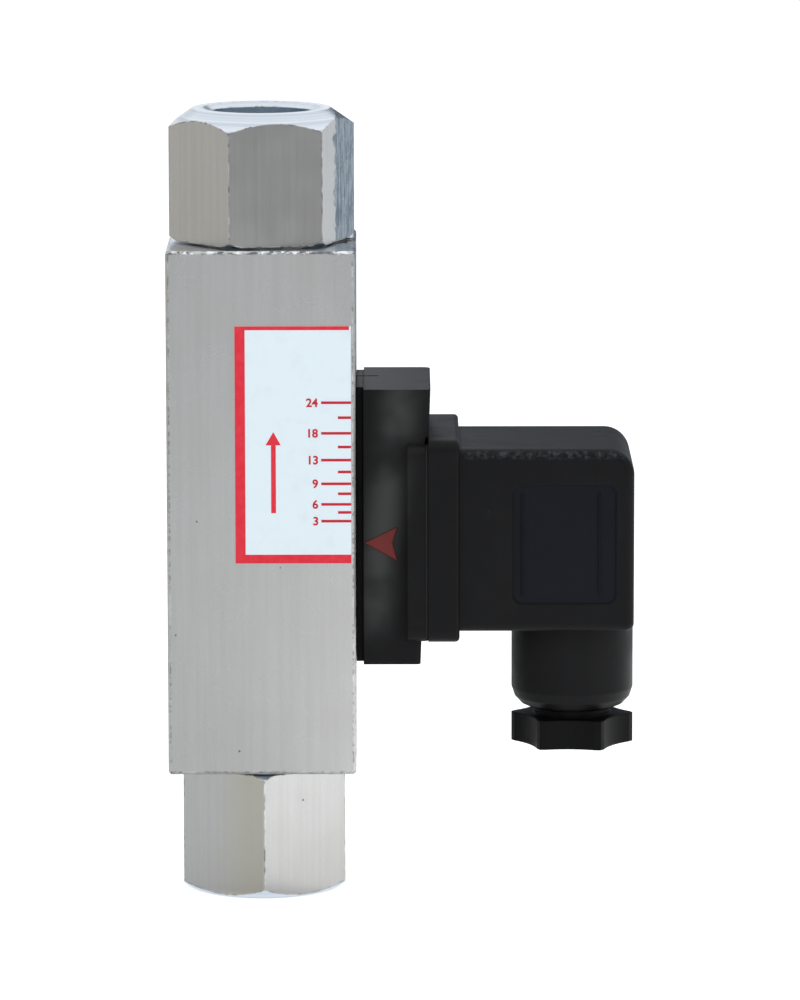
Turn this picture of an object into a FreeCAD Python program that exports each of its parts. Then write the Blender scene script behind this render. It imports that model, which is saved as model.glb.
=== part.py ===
import FreeCAD, Part
import math
import os
from types import SimpleNamespace

import Sketcher

# In-line piston flow switch with a sliding reed-switch head and a square connector plug.
# Millimetres. The origin is the centre of the inlet union's end face, +Z is the flow direction,
# +X points to the switch head and -Y to the scale label.

Vector = FreeCAD.Vector

# name, value, what it sets
SIZES = [
    ("body_width", 30.0, "square brass bar, across the flats"),
    ("body_length", 84.2, "length of the bar"),
    ("bar_edge", 0.4, "broken edges of the bar"),
    ("bore_radius", 8.8, "bore that holds the nozzle sleeve"),
    ("socket_radius", 10.0, "threaded socket for a union, M20"),
    ("socket_depth", 9.0, "depth of the threaded socket"),
    ("union_height", 20.8, "end face of a union to the bar"),
    ("hex_flats", 26.0, "union hexagon, across the flats"),
    ("collar_height", 0.35, "turned collar between the hexagon and the bar"),
    ("collar_radius", 11.0, "turned collar"),
    ("inlet_face_radius", 12.4, "where the inlet's end chamfer starts"),
    ("outlet_face_radius", 11.0, "where the outlet's end chamfer starts"),
    ("outlet_extra", 0.5, "length of the outlet's hexagon beyond the inlet's"),
    ("inner_chamfer_radius", 14.1, "where the chamfer beside the bar starts"),
    ("hex_chamfer", 35.0, "chamfer of the hexagon, degrees"),
    ("inlet_clocking", 1.1, "turn of the inlet hexagon's front corner, degrees"),
    ("outlet_clocking", 10.9, "turn of the outlet hexagon's right corner, degrees"),
    ("port_radius", 8.35, "port, to the outer radius of a G3/8 thread"),
    ("port_mouth_radius", 9.4, "countersink of the port"),
    ("port_depth", 13.0, "depth of the port"),
    ("flow_radius", 5.5, "flow passage"),
    ("spigot_radius", 9.9, "threaded spigot of a union"),
    ("spigot_length", 8.5, "threaded spigot of a union"),
    ("nose_radius", 8.72, "plain nose that carries the seal ring"),
    ("nose_length", 3.0, "plain nose that carries the seal ring"),
    ("ring_section", 0.75, "radius of a seal ring's section"),
    ("ring_radius", 8.0, "middle radius of a seal ring"),
    ("sleeve_radius", 8.74, "outside of the nozzle sleeve"),
    ("sleeve_bore", 7.25, "inside of the nozzle sleeve"),
    ("sleeve_top", 91.5, "upper end of the nozzle sleeve"),
    ("seat_top", 46.0, "seat where the piston rests"),
    ("seat_thickness", 3.0, "ring of the piston's seat"),
    ("slot_narrow", 0.8, "nozzle slot at its lower end"),
    ("slot_wide", 3.4, "nozzle slot at its upper end"),
    ("piston_radius", 7.2, "piston in the sleeve"),
    ("stem_radius", 5.4, "stem that carries the magnet"),
    ("stem_top", 63.0, "upper end of the piston"),
    ("magnet_radius", 7.1, "ring magnet"),
    ("magnet_length", 6.4, "ring magnet"),
    ("spring_well", 4.5, "well in the piston for the spring"),
    ("spring_floor", 50.0, "floor of that well"),
    ("spring_radius", 3.85, "middle radius of the spring's coils"),
    ("spring_wire", 0.35, "radius of the spring's wire"),
    ("spring_turns", 6.0, "turns of the spring"),
    ("track_mouth", 2.6, "half width of the slide track's mouth"),
    ("track_lip", 1.3, "lip of the slide track"),
    ("track_half", 4.7, "half width of the undercut track"),
    ("track_depth", 3.3, "depth of the slide track"),
    ("track_bottom", 42.0, "centre of the track's rounded lower end"),
    ("label_left", -4.1, "scale label"),
    ("label_right", 14.3, "scale label"),
    ("label_bottom", 55.1, "scale label"),
    ("label_top", 93.1, "scale label"),
    ("label_thickness", 0.25, "scale label"),
    ("head_centre", 58.0, "height of the pointer and the plug's axis"),
    ("housing_back", 16.2, "back of the switch housing"),
    ("housing_front", 26.1, "face that carries the connector"),
    ("housing_lean", 0.8, "draft of that side of the housing, over half its height"),
    ("housing_half", 12.85, "half depth of the switch housing"),
    ("housing_bottom", 38.3, "lower end of the switch housing"),
    ("housing_top", 82.6, "upper end of the switch housing"),
    ("slide_gap", 0.05, "between the head and the bar"),
    ("cover_half", 9.9, "half depth of the reed cover"),
    ("platform_back", 23.2, "back of the connector platform"),
    ("platform_half", 15.0, "half depth of the connector platform"),
    ("platform_rise", 15.9, "half height of the connector platform"),
    ("clamp_height", 78.0, "axis of the clamp screw"),
    ("contact_pitch", 9.0, "connector axis to a contact blade"),
    ("blade_width", 6.3, "contact blade"),
    ("blade_thickness", 0.8, "contact blade"),
    ("flange_back", 26.5, "mating face of the plug"),
    ("flange_front", 31.5, "shoulder of the plug's flange"),
    ("flange_half", 15.3, "half depth of the plug's flange"),
    ("flange_top", 74.75, "upper side of the plug's flange"),
    ("plug_front", 59.3, "outer face of the plug"),
    ("plug_half", 14.4, "half depth of the plug"),
    ("plug_bottom", 43.8, "lower side of the plug"),
    ("plug_top", 73.2, "upper side of the plug"),
    ("plug_cavity", 12.4, "half width of the plug's cavity"),
    ("cavity_front", 54.6, "end of the plug's cavity"),
    ("neck_axis", 49.8, "axis of the cable gland"),
    ("neck_radius", 9.8, "outside of the gland neck"),
    ("neck_bottom", 29.3, "lower rim of the gland neck"),
    ("gland_radius", 6.3, "threaded bore of the neck"),
    ("gland_top", 42.5, "shoulder over the gland seal"),
    ("nut_bottom", 23.4, "lower face of the gland nut"),
    ("nut_height", 4.7, "lobed head of the gland nut"),
    ("nut_radius", 9.8, "lobes of the gland nut"),
    ("cable_radius", 3.2, "hole for the cable in the gland seal"),
]


class Dim:
    """A size: its number, and the spreadsheet expression that gives it."""

    def __init__(self, value, text):
        self.value = float(value)
        self.text = text

    def __add__(self, other):
        return combine(self, "+", other)

    def __radd__(self, other):
        return combine(other, "+", self)

    def __sub__(self, other):
        return combine(self, "-", other)

    def __rsub__(self, other):
        return combine(other, "-", self)

    def __mul__(self, other):
        return combine(self, "*", other)

    def __rmul__(self, other):
        return combine(other, "*", self)

    def __truediv__(self, other):
        return combine(self, "/", other)

    def __neg__(self):
        return combine(0.0, "-", self)


def as_dim(size):
    return size if isinstance(size, Dim) else Dim(size, f"{float(size):.6f}")


def combine(left, sign, right):
    left, right = as_dim(left), as_dim(right)
    value = {
        "+": left.value + right.value,
        "-": left.value - right.value,
        "*": left.value * right.value,
        "/": left.value / right.value if right.value else 0.0,
    }[sign]
    return Dim(value, f"({left.text} {sign} {right.text})")


def fill_sheet(sheet):
    """Write the driving sizes into the sheet and return them by name."""
    size = SimpleNamespace()
    for row, (name, value, meaning) in enumerate(SIZES, start=1):
        sheet.set(f"A{row}", name)
        sheet.set(f"B{row}", str(value))
        sheet.set(f"C{row}", meaning)
        sheet.setAlias(f"B{row}", name)
        setattr(size, name, Dim(value, f"Sizes.{name}"))
    return size


doc = FreeCAD.newDocument("FlowSwitch")
size = fill_sheet(doc.addObject("Spreadsheet::Sheet", "Sizes"))
doc.recompute()

# Levels and faces that several pieces share
bar_face = size.body_width / 2
bar_bottom = size.union_height
bar_top = size.union_height + size.body_length
total_height = bar_top + size.union_height
hex_top = size.union_height - size.collar_height
spigot_end = size.union_height + size.spigot_length
nose_end = spigot_end + size.nose_length
magnet_bottom = size.head_centre - size.magnet_length / 2
magnet_top = size.head_centre + size.magnet_length / 2
base_step = size.platform_back + 0.8
base_root = base_step - 4.0
raised_face = size.housing_front + 1.7
block_back = size.flange_back + 3.5
block_front = block_back + 17.0
nut_top = size.nut_bottom + size.nut_height
washer_bottom = nut_top + 7.1
washer_top = washer_bottom + 0.6
fit = 0.05
overcut = 1.0

parts = []


def keep(piece):
    """Register a finished sub-part; its label names the file."""
    parts.append(piece)
    return piece


# ---------------------------------------------------------------- sketches and features

def new_body(label):
    body = doc.addObject("PartDesign::Body", label)
    body.Label = label
    return keep(body)


def new_sketch(body, role, offset=0.0, shift=(0.0, 0.0)):
    """A sketch on one of the body's own planes, moved along its normal and in its plane."""
    sketch = body.newObject("Sketcher::SketchObject", "Sketch")
    plane = next(item for item in body.Origin.OriginFeatures if item.Role == role)
    sketch.AttachmentSupport = [(plane, "")]
    sketch.MapMode = "FlatFace"
    for axis, amount in zip("xyz", (*shift, offset)):
        sketch.setExpression(f"AttachmentOffset.Base.{axis}", as_dim(amount).text)
    return sketch


def fix_point(sketch, geometry, position, x, y):
    """Tie a point to the sketch's origin with two sizes from the sheet."""
    for kind, amount in (("DistanceX", as_dim(x)), ("DistanceY", as_dim(y))):
        place = Sketcher.Constraint(kind, -1, 1, geometry, position, amount.value)
        index = sketch.addConstraint(place)
        sketch.setExpression(f"Constraints[{index}]", amount.text)


def polygon(sketch, corners):
    """A closed outline of straight edges through the corners."""
    points = [Vector(as_dim(x).value, as_dim(y).value, 0) for x, y in corners]
    first = sketch.GeometryCount
    count = len(points)
    for i in range(count):
        sketch.addGeometry(Part.LineSegment(points[i], points[(i + 1) % count]), False)
    for i in range(count):
        ends = (first + i, 2, first + (i + 1) % count, 1)
        sketch.addConstraint(Sketcher.Constraint("Coincident", *ends))
    for i, (x, y) in enumerate(corners):
        fix_point(sketch, first + i, 1, x, y)
    return sketch


def rectangle(sketch, left, low, right, high):
    return polygon(sketch, [(left, low), (right, low), (right, high), (left, high)])


def circle(sketch, radius, x=0.0, y=0.0):
    radius = as_dim(radius)
    centre = Vector(as_dim(x).value, as_dim(y).value, 0)
    index = sketch.GeometryCount
    sketch.addGeometry(Part.Circle(centre, Vector(0, 0, 1), radius.value), False)
    fix_point(sketch, index, 3, x, y)
    row = sketch.addConstraint(Sketcher.Constraint("Radius", index, radius.value))
    sketch.setExpression(f"Constraints[{row}]", radius.text)
    return sketch


def feature(body, kind, sketch, **settings):
    item = body.newObject(f"PartDesign::{kind}", kind)
    item.Profile = sketch
    for name, amount in settings.items():
        if isinstance(amount, Dim):
            item.setExpression(name, amount.text)
        else:
            setattr(item, name, amount)
    sketch.Visibility = False
    doc.recompute()
    return item


def pad(body, sketch, length, **settings):
    return feature(body, "Pad", sketch, Length=as_dim(length), **settings)


def cut(body, kind, sketch, **settings):
    """A pocket or groove that has to take material away."""
    before = body.Shape.Volume
    item = feature(body, kind, sketch, **settings)
    if item.Shape.Volume > before - 1e-3:
        raise ValueError(f"{item.Name} of {body.Label} cuts nothing")
    return item


def pocket(body, sketch, length, **settings):
    return cut(body, "Pocket", sketch, Length=as_dim(length), **settings)


def turned(body, profile, kind="Revolution", axis=(0.0, 0.0)):
    """Turn a half section of (radius, height) corners about a vertical axis at (x, y)."""
    sketch = new_sketch(body, "XZ_Plane", offset=-as_dim(axis[1]), shift=(axis[0], 0.0))
    polygon(sketch, profile)
    make = feature if kind == "Revolution" else cut
    return make(body, kind, sketch, ReferenceAxis=(sketch, ["V_Axis"]), Angle=360.0)


def around(body, item, count):
    """Repeat a feature around the body's vertical axis."""
    pattern = body.newObject("PartDesign::PolarPattern", "Around")
    pattern.Originals = [item]
    axis = next(line for line in body.Origin.OriginFeatures if line.Role == "Z_Axis")
    pattern.Axis = (axis, [""])
    pattern.Angle = 360.0
    pattern.Occurrences = count
    body.Tip = pattern
    doc.recompute()
    return pattern


def edges_between(shape, low, high, kind="Line"):
    """Names of the edges of one kind that lie wholly inside a box."""
    box = FreeCAD.BoundBox(*(min(a, b) - 0.01 for a, b in zip(low, high)),
                           *(max(a, b) + 0.01 for a, b in zip(low, high)))
    names = []
    for index, edge in enumerate(shape.Edges, start=1):
        inside = all(box.isInside(vertex.Point) for vertex in edge.Vertexes)
        if inside and box.isInside(edge.BoundBox.Center) and type(edge.Curve).__name__ == kind:
            names.append(f"Edge{index}")
    return names


def dress(body, kind, amount, low, high, curve="Line"):
    """Round or chamfer the body's edges inside a box."""
    base = body.Tip
    names = edges_between(base.Shape, low, high, curve)
    if not names:
        raise ValueError(f"no edge to dress on {body.Label}")
    item = body.newObject(f"PartDesign::{kind}", kind)
    item.Base = (base, names)
    item.setExpression("Radius" if kind == "Fillet" else "Size", as_dim(amount).text)
    doc.recompute()
    return item


def place(piece, x=0.0, y=0.0, z=0.0, rotation=None):
    """Set a piece's placement; its position is bound to the sheet."""
    piece.Placement = FreeCAD.Placement(Vector(), rotation or FreeCAD.Rotation())
    for axis, amount in zip("xyz", (x, y, z)):
        piece.setExpression(f"Placement.Base.{axis}", as_dim(amount).text)
    return piece


def primitive(kind, name, **settings):
    item = doc.addObject(f"Part::{kind}", name)
    for key, amount in settings.items():
        item.setExpression(key, as_dim(amount).text)
    return item


def box(name, low, high):
    """A block between two corners."""
    low, high = [as_dim(c) for c in low], [as_dim(c) for c in high]
    item = primitive("Box", name, Length=high[0] - low[0], Width=high[1] - low[1],
                     Height=high[2] - low[2])
    return place(item, *low)


ALONG_X = FreeCAD.Rotation(Vector(0, 1, 0), 90)
UPSIDE_DOWN = FreeCAD.Rotation(Vector(1, 0, 0), 180)


# ---------------------------------------------------------------- pressure body

def body_block():
    """Square bar, bored and tapped from both ends, with the undercut track of the head."""
    body = new_body("body_block")
    outline = new_sketch(body, "XY_Plane", bar_bottom)
    rectangle(outline, -bar_face, -bar_face, bar_face, bar_face)
    pad(body, outline, size.body_length)
    half = bar_face.value
    dress(body, "Chamfer", size.bar_edge, (-half, -half, bar_bottom.value),
          (half, half, bar_top.value))
    lead = 0.8
    turned(body, [
        (0, bar_bottom), (size.socket_radius + lead, bar_bottom),
        (size.socket_radius, bar_bottom + lead),
        (size.socket_radius, bar_bottom + size.socket_depth),
        (size.bore_radius, bar_bottom + size.socket_depth),
        (size.bore_radius, bar_top - size.socket_depth),
        (size.socket_radius, bar_top - size.socket_depth),
        (size.socket_radius, bar_top - lead),
        (size.socket_radius + lead, bar_top), (0, bar_top),
    ], "Groove")
    slide_track(body)


def slide_track(body):
    """Two milling cuts: the mouth, and behind its lips the wider undercut."""
    cuts = (
        (size.track_mouth, bar_face, size.track_depth),
        (size.track_half, bar_face - size.track_lip, size.track_depth - size.track_lip),
    )
    for half, face, depth in cuts:
        run = new_sketch(body, "YZ_Plane", face)
        rectangle(run, -half, size.track_bottom, half, bar_top + overcut)
        pocket(body, run, depth)
        end = circle(new_sketch(body, "YZ_Plane", face), half, 0.0, size.track_bottom)
        pocket(body, end, depth)


def union(label, clocking, end, face):
    """Hexagon with a tapped port; the other end carries a threaded spigot and a sealed nose.

    Its end face, of radius face, is at z = end.
    """
    body = new_body(label)
    corner = size.hex_flats / math.sqrt(3)
    hexagon = new_sketch(body, "XY_Plane", end)
    polygon(hexagon, [
        (corner * math.cos(math.radians(60 * i + clocking)),
         corner * math.sin(math.radians(60 * i + clocking))) for i in range(6)
    ])
    pad(body, hexagon, hex_top - end)
    slope = math.tan(math.radians(size.hex_chamfer.value))
    rim = corner + overcut
    turned(body, [
        (face, end), (rim, end), (rim, end + (rim - face) * slope),
    ], "Groove")
    turned(body, [
        (size.inner_chamfer_radius, hex_top), (rim, hex_top),
        (rim, hex_top - (rim - size.inner_chamfer_radius) * slope),
    ], "Groove")
    rim, level = face.value, end.value
    dress(body, "Fillet", 0.7, (-rim, -rim, level), (rim, rim, level), "Circle")
    turned(body, spigot_profile())
    throat = size.port_radius - size.flow_radius
    turned(body, [
        (0, end), (size.port_mouth_radius, end),
        (size.port_radius, end + (size.port_mouth_radius - size.port_radius) * slope),
        (size.port_radius, size.port_depth),
        (size.flow_radius, size.port_depth + throat * slope),
        (size.flow_radius, nose_end), (0, nose_end),
    ], "Groove")
    return body


def spigot_profile():
    """Half section of collar, threaded spigot and grooved nose."""
    groove_floor = size.ring_radius - size.ring_section - fit
    groove_half = size.ring_section + 0.1
    middle = seal_height()
    lead = 0.5
    return [
        (0, hex_top), (size.collar_radius, hex_top), (size.collar_radius, size.union_height),
        (size.spigot_radius, size.union_height), (size.spigot_radius, spigot_end - lead),
        (size.spigot_radius - lead, spigot_end), (size.nose_radius, spigot_end),
        (size.nose_radius, middle - groove_half), (groove_floor, middle - groove_half),
        (groove_floor, middle + groove_half), (size.nose_radius, middle + groove_half),
        (size.nose_radius, nose_end - lead), (size.nose_radius - lead, nose_end),
        (0, nose_end),
    ]


def seal_height():
    return spigot_end + size.nose_length / 2


def seal_ring(label, height):
    ring = primitive("Torus", label, Radius1=size.ring_radius, Radius2=size.ring_section)
    ring.Label = label
    keep(place(ring, z=height))


def nozzle_sleeve():
    """Sleeve with the piston's seat and three slots that widen upwards."""
    body = new_body("nozzle_sleeve")
    bottom = nose_end + 0.1
    seat_bottom = size.seat_top - size.seat_thickness
    turned(body, [
        (size.sleeve_bore, bottom), (size.sleeve_radius, bottom),
        (size.sleeve_radius, size.sleeve_top), (size.sleeve_bore, size.sleeve_top),
        (size.sleeve_bore, size.seat_top), (size.flow_radius, size.seat_top),
        (size.flow_radius, seat_bottom), (size.sleeve_bore, seat_bottom - 2.5),
    ])
    slot = new_sketch(body, "XZ_Plane")
    slot_bottom, slot_top = size.seat_top + 1.0, size.sleeve_top - 2.5
    polygon(slot, [
        (-size.slot_narrow / 2, slot_bottom), (size.slot_narrow / 2, slot_bottom),
        (size.slot_wide / 2, slot_top), (-size.slot_wide / 2, slot_top),
    ])
    around(body, pocket(body, slot, size.sleeve_radius + overcut), 3)


def spring_bridge():
    """Three-legged bridge over the sleeve: it holds the spring and lets the flow past."""
    body = new_body("spring_bridge")
    height = 1.9
    rim = new_sketch(body, "XY_Plane", size.sleeve_top)
    circle(rim, size.sleeve_radius)
    circle(rim, size.sleeve_bore - 0.2)
    pad(body, rim, height)
    leg = new_sketch(body, "XY_Plane", size.sleeve_top)
    rectangle(leg, 0.6, -0.8, size.sleeve_bore + 0.3, 0.8)
    around(body, pad(body, leg, height), 3)
    hub = circle(new_sketch(body, "XY_Plane", size.sleeve_top - 5.0), 2.2)
    pad(body, hub, height + 5.0)


def scale_label():
    label = box("scale_label", (size.label_left, -bar_face - size.label_thickness, size.label_bottom),
                (size.label_right, -bar_face, size.label_top))
    label.Label = "scale_label"
    keep(label)


# ---------------------------------------------------------------- piston and spring

def piston():
    """Flanged cup with a cone nose below and the spring's well above."""
    turned(new_body("piston"), [
        (0, size.seat_top - 1.6), (3.6, size.seat_top - 1.6), (4.9, size.seat_top),
        (size.piston_radius, size.seat_top), (size.piston_radius, magnet_bottom - fit),
        (size.stem_radius, magnet_bottom - fit), (size.stem_radius, size.stem_top),
        (size.spring_well, size.stem_top), (size.spring_well, size.spring_floor),
        (0, size.spring_floor),
    ])


def ring(label, inner, outer, low, high, axis=(0.0, 0.0)):
    """A plain turned ring."""
    body = new_body(label)
    turned(body, [(inner, low), (outer, low), (outer, high), (inner, high)], axis=axis)
    return body


def return_spring():
    """Round wire wound between the piston's well and the bridge."""
    body = new_body("return_spring")
    wire = new_sketch(body, "XZ_Plane")
    low = size.spring_floor + size.spring_wire
    high = size.sleeve_top - size.spring_wire
    circle(wire, size.spring_wire, size.spring_radius, low)
    coil = body.newObject("PartDesign::AdditiveHelix", "Coil")
    coil.Profile = wire
    coil.ReferenceAxis = (wire, ["V_Axis"])
    coil.Mode = "height-turns-angle"
    coil.setExpression("Height", (high - low).text)
    coil.setExpression("Turns", size.spring_turns.text)
    doc.recompute()


# ---------------------------------------------------------------- switch head

def switch_housing():
    """Moulded box with the square connector platform on its outer face."""
    body = new_body("switch_housing")
    back, front, half = size.housing_back, size.housing_front, size.housing_half
    low, high = size.housing_bottom, size.housing_top
    lean = size.housing_lean
    outline = new_sketch(body, "XZ_Plane", -half)
    polygon(outline, [
        (back, low), (front - lean, low), (front + lean, high), (back, high),
    ])
    pad(body, outline, half * 2)
    left, right = (front - lean).value, (front + lean).value
    for side, radius in ((half.value, 1.2), (-half.value, 0.8)):
        dress(body, "Fillet", radius, (left, side, low.value), (right, side, high.value))
    platform = new_sketch(body, "YZ_Plane", size.platform_back)
    rise = size.platform_rise
    rectangle(platform, -size.platform_half, size.head_centre - rise,
              size.platform_half, size.head_centre + rise)
    pad(body, platform, front - size.platform_back)
    corner = size.platform_half.value
    for side in (-corner, corner):
        for level in ((size.head_centre - rise).value, (size.head_centre + rise).value):
            dress(body, "Fillet", 2.0, (size.platform_back.value, side, level),
                  (front.value, side, level))
    face = new_sketch(body, "YZ_Plane", front)
    rectangle(face, -size.platform_half, size.head_centre - rise,
              size.platform_half, size.flange_top + 0.1)
    pocket(body, face, lean, Reversed=True)
    reed_room = new_sketch(body, "YZ_Plane", back)
    rectangle(reed_room, -9.6, size.head_centre - 14.0, 9.6, size.head_centre + 15.0)
    pocket(body, reed_room, 3.8, Reversed=True)
    for half_width, start, stop in ((13.0, front, base_step), (10.8, base_step, base_root)):
        seat = new_sketch(body, "YZ_Plane", start)
        square(seat, half_width)
        pocket(body, seat, start - stop)
    screw_hole(body, front, 3.9, 4.9)
    screw_hole(body, front, 2.25, front - back + overcut)
    notch(body, back, 2.4)
    arrow = arrow_sketch(body, -half)
    pocket(body, arrow, 0.4)


def square(sketch, half):
    """A square about the connector's axis, on a YZ plane."""
    return rectangle(sketch, -as_dim(half), size.head_centre - half, half, size.head_centre + half)


def screw_hole(body, face, radius, depth):
    hole = circle(new_sketch(body, "YZ_Plane", face), radius, 0.0, size.clamp_height)
    pocket(body, hole, depth)


def notch(body, face, length):
    """Small slit in the top edge, beside the bar."""
    slit = new_sketch(body, "XY_Plane", size.housing_top)
    rectangle(slit, face, 2.4, face + length, 3.1)
    pocket(body, slit, 1.6)


def arrow_sketch(body, face):
    """Pointer outline on a plane at y = face: a head with a notched back."""
    sketch = new_sketch(body, "XZ_Plane", -face)
    centre = size.head_centre
    return polygon(sketch, [
        (16.4, centre), (21.6, centre - 2.9), (20.8, centre), (21.6, centre + 2.5),
    ])


def pointer_arrow():
    body = new_body("pointer_arrow")
    pad(body, arrow_sketch(body, 0.4 - size.housing_half), 0.5)


def reed_cover():
    """Cover over the reed's room; its key slides in the mouth of the track."""
    body = new_body("reed_cover")
    rear = bar_face + size.slide_gap
    plate = new_sketch(body, "YZ_Plane", rear)
    rectangle(plate, -size.cover_half, size.housing_bottom, size.cover_half, size.housing_top)
    pad(body, plate, size.housing_back - rear)
    key_half = size.track_mouth - 0.15
    key = new_sketch(body, "YZ_Plane", rear - 1.15)
    rectangle(key, -key_half, size.track_bottom, key_half, size.head_centre + 12.0)
    pad(body, key, 1.3)
    stop = circle(new_sketch(body, "YZ_Plane", rear - 1.15), key_half, 0.0, size.track_bottom)
    pad(body, stop, 1.3)
    screw_hole(body, size.housing_back, 2.25, 2.0)
    notch(body, rear, 1.2)


def slot_nut():
    """T-shaped nut that the clamp screw pulls against the lips of the track."""
    body = new_body("slot_nut")
    floor = bar_face - size.track_depth + 0.2
    lip = bar_face - size.track_lip - 0.1
    top = bar_face - 0.1
    section = new_sketch(body, "XY_Plane", size.clamp_height - 4.4)
    polygon(section, [
        (floor, -4.5), (lip, -4.5), (lip, -2.4), (top, -2.4),
        (top, 2.4), (lip, 2.4), (lip, 4.5), (floor, 4.5),
    ])
    pad(body, section, 8.8)
    screw_hole(body, top, 2.05, 4.0)


def screw(label, radius, length, head_radius, head_height, drive):
    """Screw along +Z with its head's seat at z = 0; drive is the recess's sketch function."""
    body = new_body(label)
    edge = 0.3
    turned(body, [
        (0, -length), (radius - edge, -length), (radius, edge - length), (radius, 0),
        (head_radius, 0), (head_radius, head_height - edge),
        (head_radius - edge, head_height), (0, head_height),
    ])
    drive(body, head_height)
    return body


def hex_socket(body, top):
    across = 3.0
    corner = across / math.sqrt(3)
    sketch = new_sketch(body, "XY_Plane", top)
    polygon(sketch, [
        (corner * math.cos(math.radians(60 * i)), corner * math.sin(math.radians(60 * i)))
        for i in range(6)
    ])
    pocket(body, sketch, 2.2)


def cross_slot(body, top):
    for half_x, half_y in ((0.4, 3.5), (1.5, 0.35)):
        slot = new_sketch(body, "XY_Plane", top)
        rectangle(slot, -half_x, -half_y, half_x, half_y)
        pocket(body, slot, 0.8)


def reed_switch():
    """Sealed glass capsule around two overlapping contact blades."""
    x = 18.0
    centre = size.head_centre
    capsule = new_body("reed_capsule")
    turned(capsule, [
        (0.32, centre - 7.0), (0.8, centre - 7.0), (1.3, centre - 6.2), (1.3, centre + 6.2),
        (0.8, centre + 7.0), (0.32, centre + 7.0), (0.32, centre + 5.9), (0.95, centre + 5.3),
        (0.95, centre - 5.3), (0.32, centre - 5.9),
    ], axis=(x, 0.0))
    pieces = []
    for name, side in (("Upper", 1), ("Lower", -1)):
        lead_end = centre + side * 12.0
        stem_end = centre + side * 4.5
        lead = primitive("Cylinder", f"{name}Lead", Radius=0.3, Height=7.5)
        place(lead, x, 0.0, stem_end if side > 0 else lead_end)
        tip = centre - side * 0.8
        ends = sorted((tip, stem_end + side * 0.3), key=lambda level: level.value)
        shift = 0.14 * side
        blade = box(f"{name}Blade", (x - 0.1 + shift, -0.45, ends[0]),
                    (x + 0.1 + shift, 0.45, ends[1]))
        joined = doc.addObject("Part::Fuse", f"{name}Contact")
        joined.Base, joined.Tool = lead, blade
        pieces.append(joined)
    gather("reed_contacts", pieces)


def gather(label, pieces):
    """Several separate solids as one sub-part."""
    group = doc.addObject("Part::Compound", label)
    group.Links = pieces
    group.Label = label
    return keep(group)


def reed_wire(label, side):
    """Insulated wire from a reed lead over to its contact blade."""
    body = new_body(label)
    plane = 18.7
    bend = 1.6
    reach = size.contact_pitch - size.blade_thickness / 2 - 0.9
    start = size.head_centre + 12.1 * side
    run = start + 1.4 * side
    stop = size.head_centre + 3.6 * side
    path = new_sketch(body, "YZ_Plane", plane)
    corners = [(0.0, start), (0.0, run), (-reach * side, run), (-reach * side, stop)]
    rounded_path(path, corners, min(bend, 1.3))
    section = circle(new_sketch(body, "XY_Plane", start), 0.5, plane, 0.0)
    pipe = body.newObject("PartDesign::AdditivePipe", "Pipe")
    pipe.Profile = section
    pipe.Spine = path
    doc.recompute()


def rounded_path(sketch, corners, bend):
    """An open path of straight runs joined by tangent arcs."""
    points = [Vector(as_dim(x).value, as_dim(y).value, 0) for x, y in corners]
    edges = []
    start = points[0]
    for before, corner, after in zip(points, points[1:], points[2:]):
        inward = (before - corner).normalize() * bend
        outward = (after - corner).normalize() * bend
        middle = corner + (inward + outward) * (1 - math.sqrt(0.5))
        edges.append(Part.LineSegment(start, corner + inward))
        edges.append(Part.Arc(corner + inward, middle, corner + outward))
        start = corner + outward
    edges.append(Part.LineSegment(start, points[-1]))
    for edge in edges:
        sketch.addGeometry(edge, False)


def blade_places():
    """Contact blades as (name, y, z, lies flat)."""
    pitch, centre = size.contact_pitch, size.head_centre
    return [
        ("LineBlade", -pitch, centre, False),
        ("SwitchBlade", pitch, centre, False),
        ("SpareBlade", 0.0, centre + pitch, True),
    ]


def blade_box(name, y, z, flat, low_x, high_x, grow=0.0):
    """A blade, or with grow the slot that takes it."""
    wide = size.blade_width / 2 + grow
    thin = size.blade_thickness / 2 + grow
    half_y, half_z = (wide, thin) if flat else (thin, wide)
    return box(name, (low_x, y - half_y, z - half_z), (high_x, y + half_y, z + half_z))


def contact_blades():
    back = base_root - 0.8
    blades = [blade_box(*item, back, raised_face + 9.0) for item in blade_places()]
    gather("contact_pins", blades)
    earth = blade_box("earth_pin", 0.0, size.head_centre - size.contact_pitch, True,
                      back, raised_face + 10.0)
    earth.Label = "earth_pin"
    keep(earth)


def all_blades():
    return blade_places() + [("Earth", 0.0, size.head_centre - size.contact_pitch, True)]


def slots_in(body, face, depth, grow, **settings):
    """Slots for the four blades, cut from a face."""
    sketch = new_sketch(body, "YZ_Plane", face)
    for _, y, z, flat in all_blades():
        wide = size.blade_width / 2 + grow
        thin = size.blade_thickness / 2 + grow
        half_y, half_z = (wide, thin) if flat else (thin, wide)
        rectangle(sketch, y - half_y, z - half_z, y + half_y, z + half_z)
    pocket(body, sketch, depth, **settings)


def terminal_base():
    """Insulating insert of the head that holds the blades and the plug's screw."""
    body = new_body("terminal_base")
    steps = ((10.7, base_root, base_step), (12.9, base_step, size.housing_front),
             (10.9, size.housing_front, raised_face))
    for half, start, stop in steps:
        pad(body, square(new_sketch(body, "YZ_Plane", start), half), stop - start)
    slots_in(body, raised_face, raised_face - base_root + overcut, 0.01)
    bore = circle(new_sketch(body, "YZ_Plane", raised_face), 1.55, 0.0, size.head_centre)
    pocket(body, bore, raised_face - base_root + overcut)


# ---------------------------------------------------------------- plug

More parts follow.
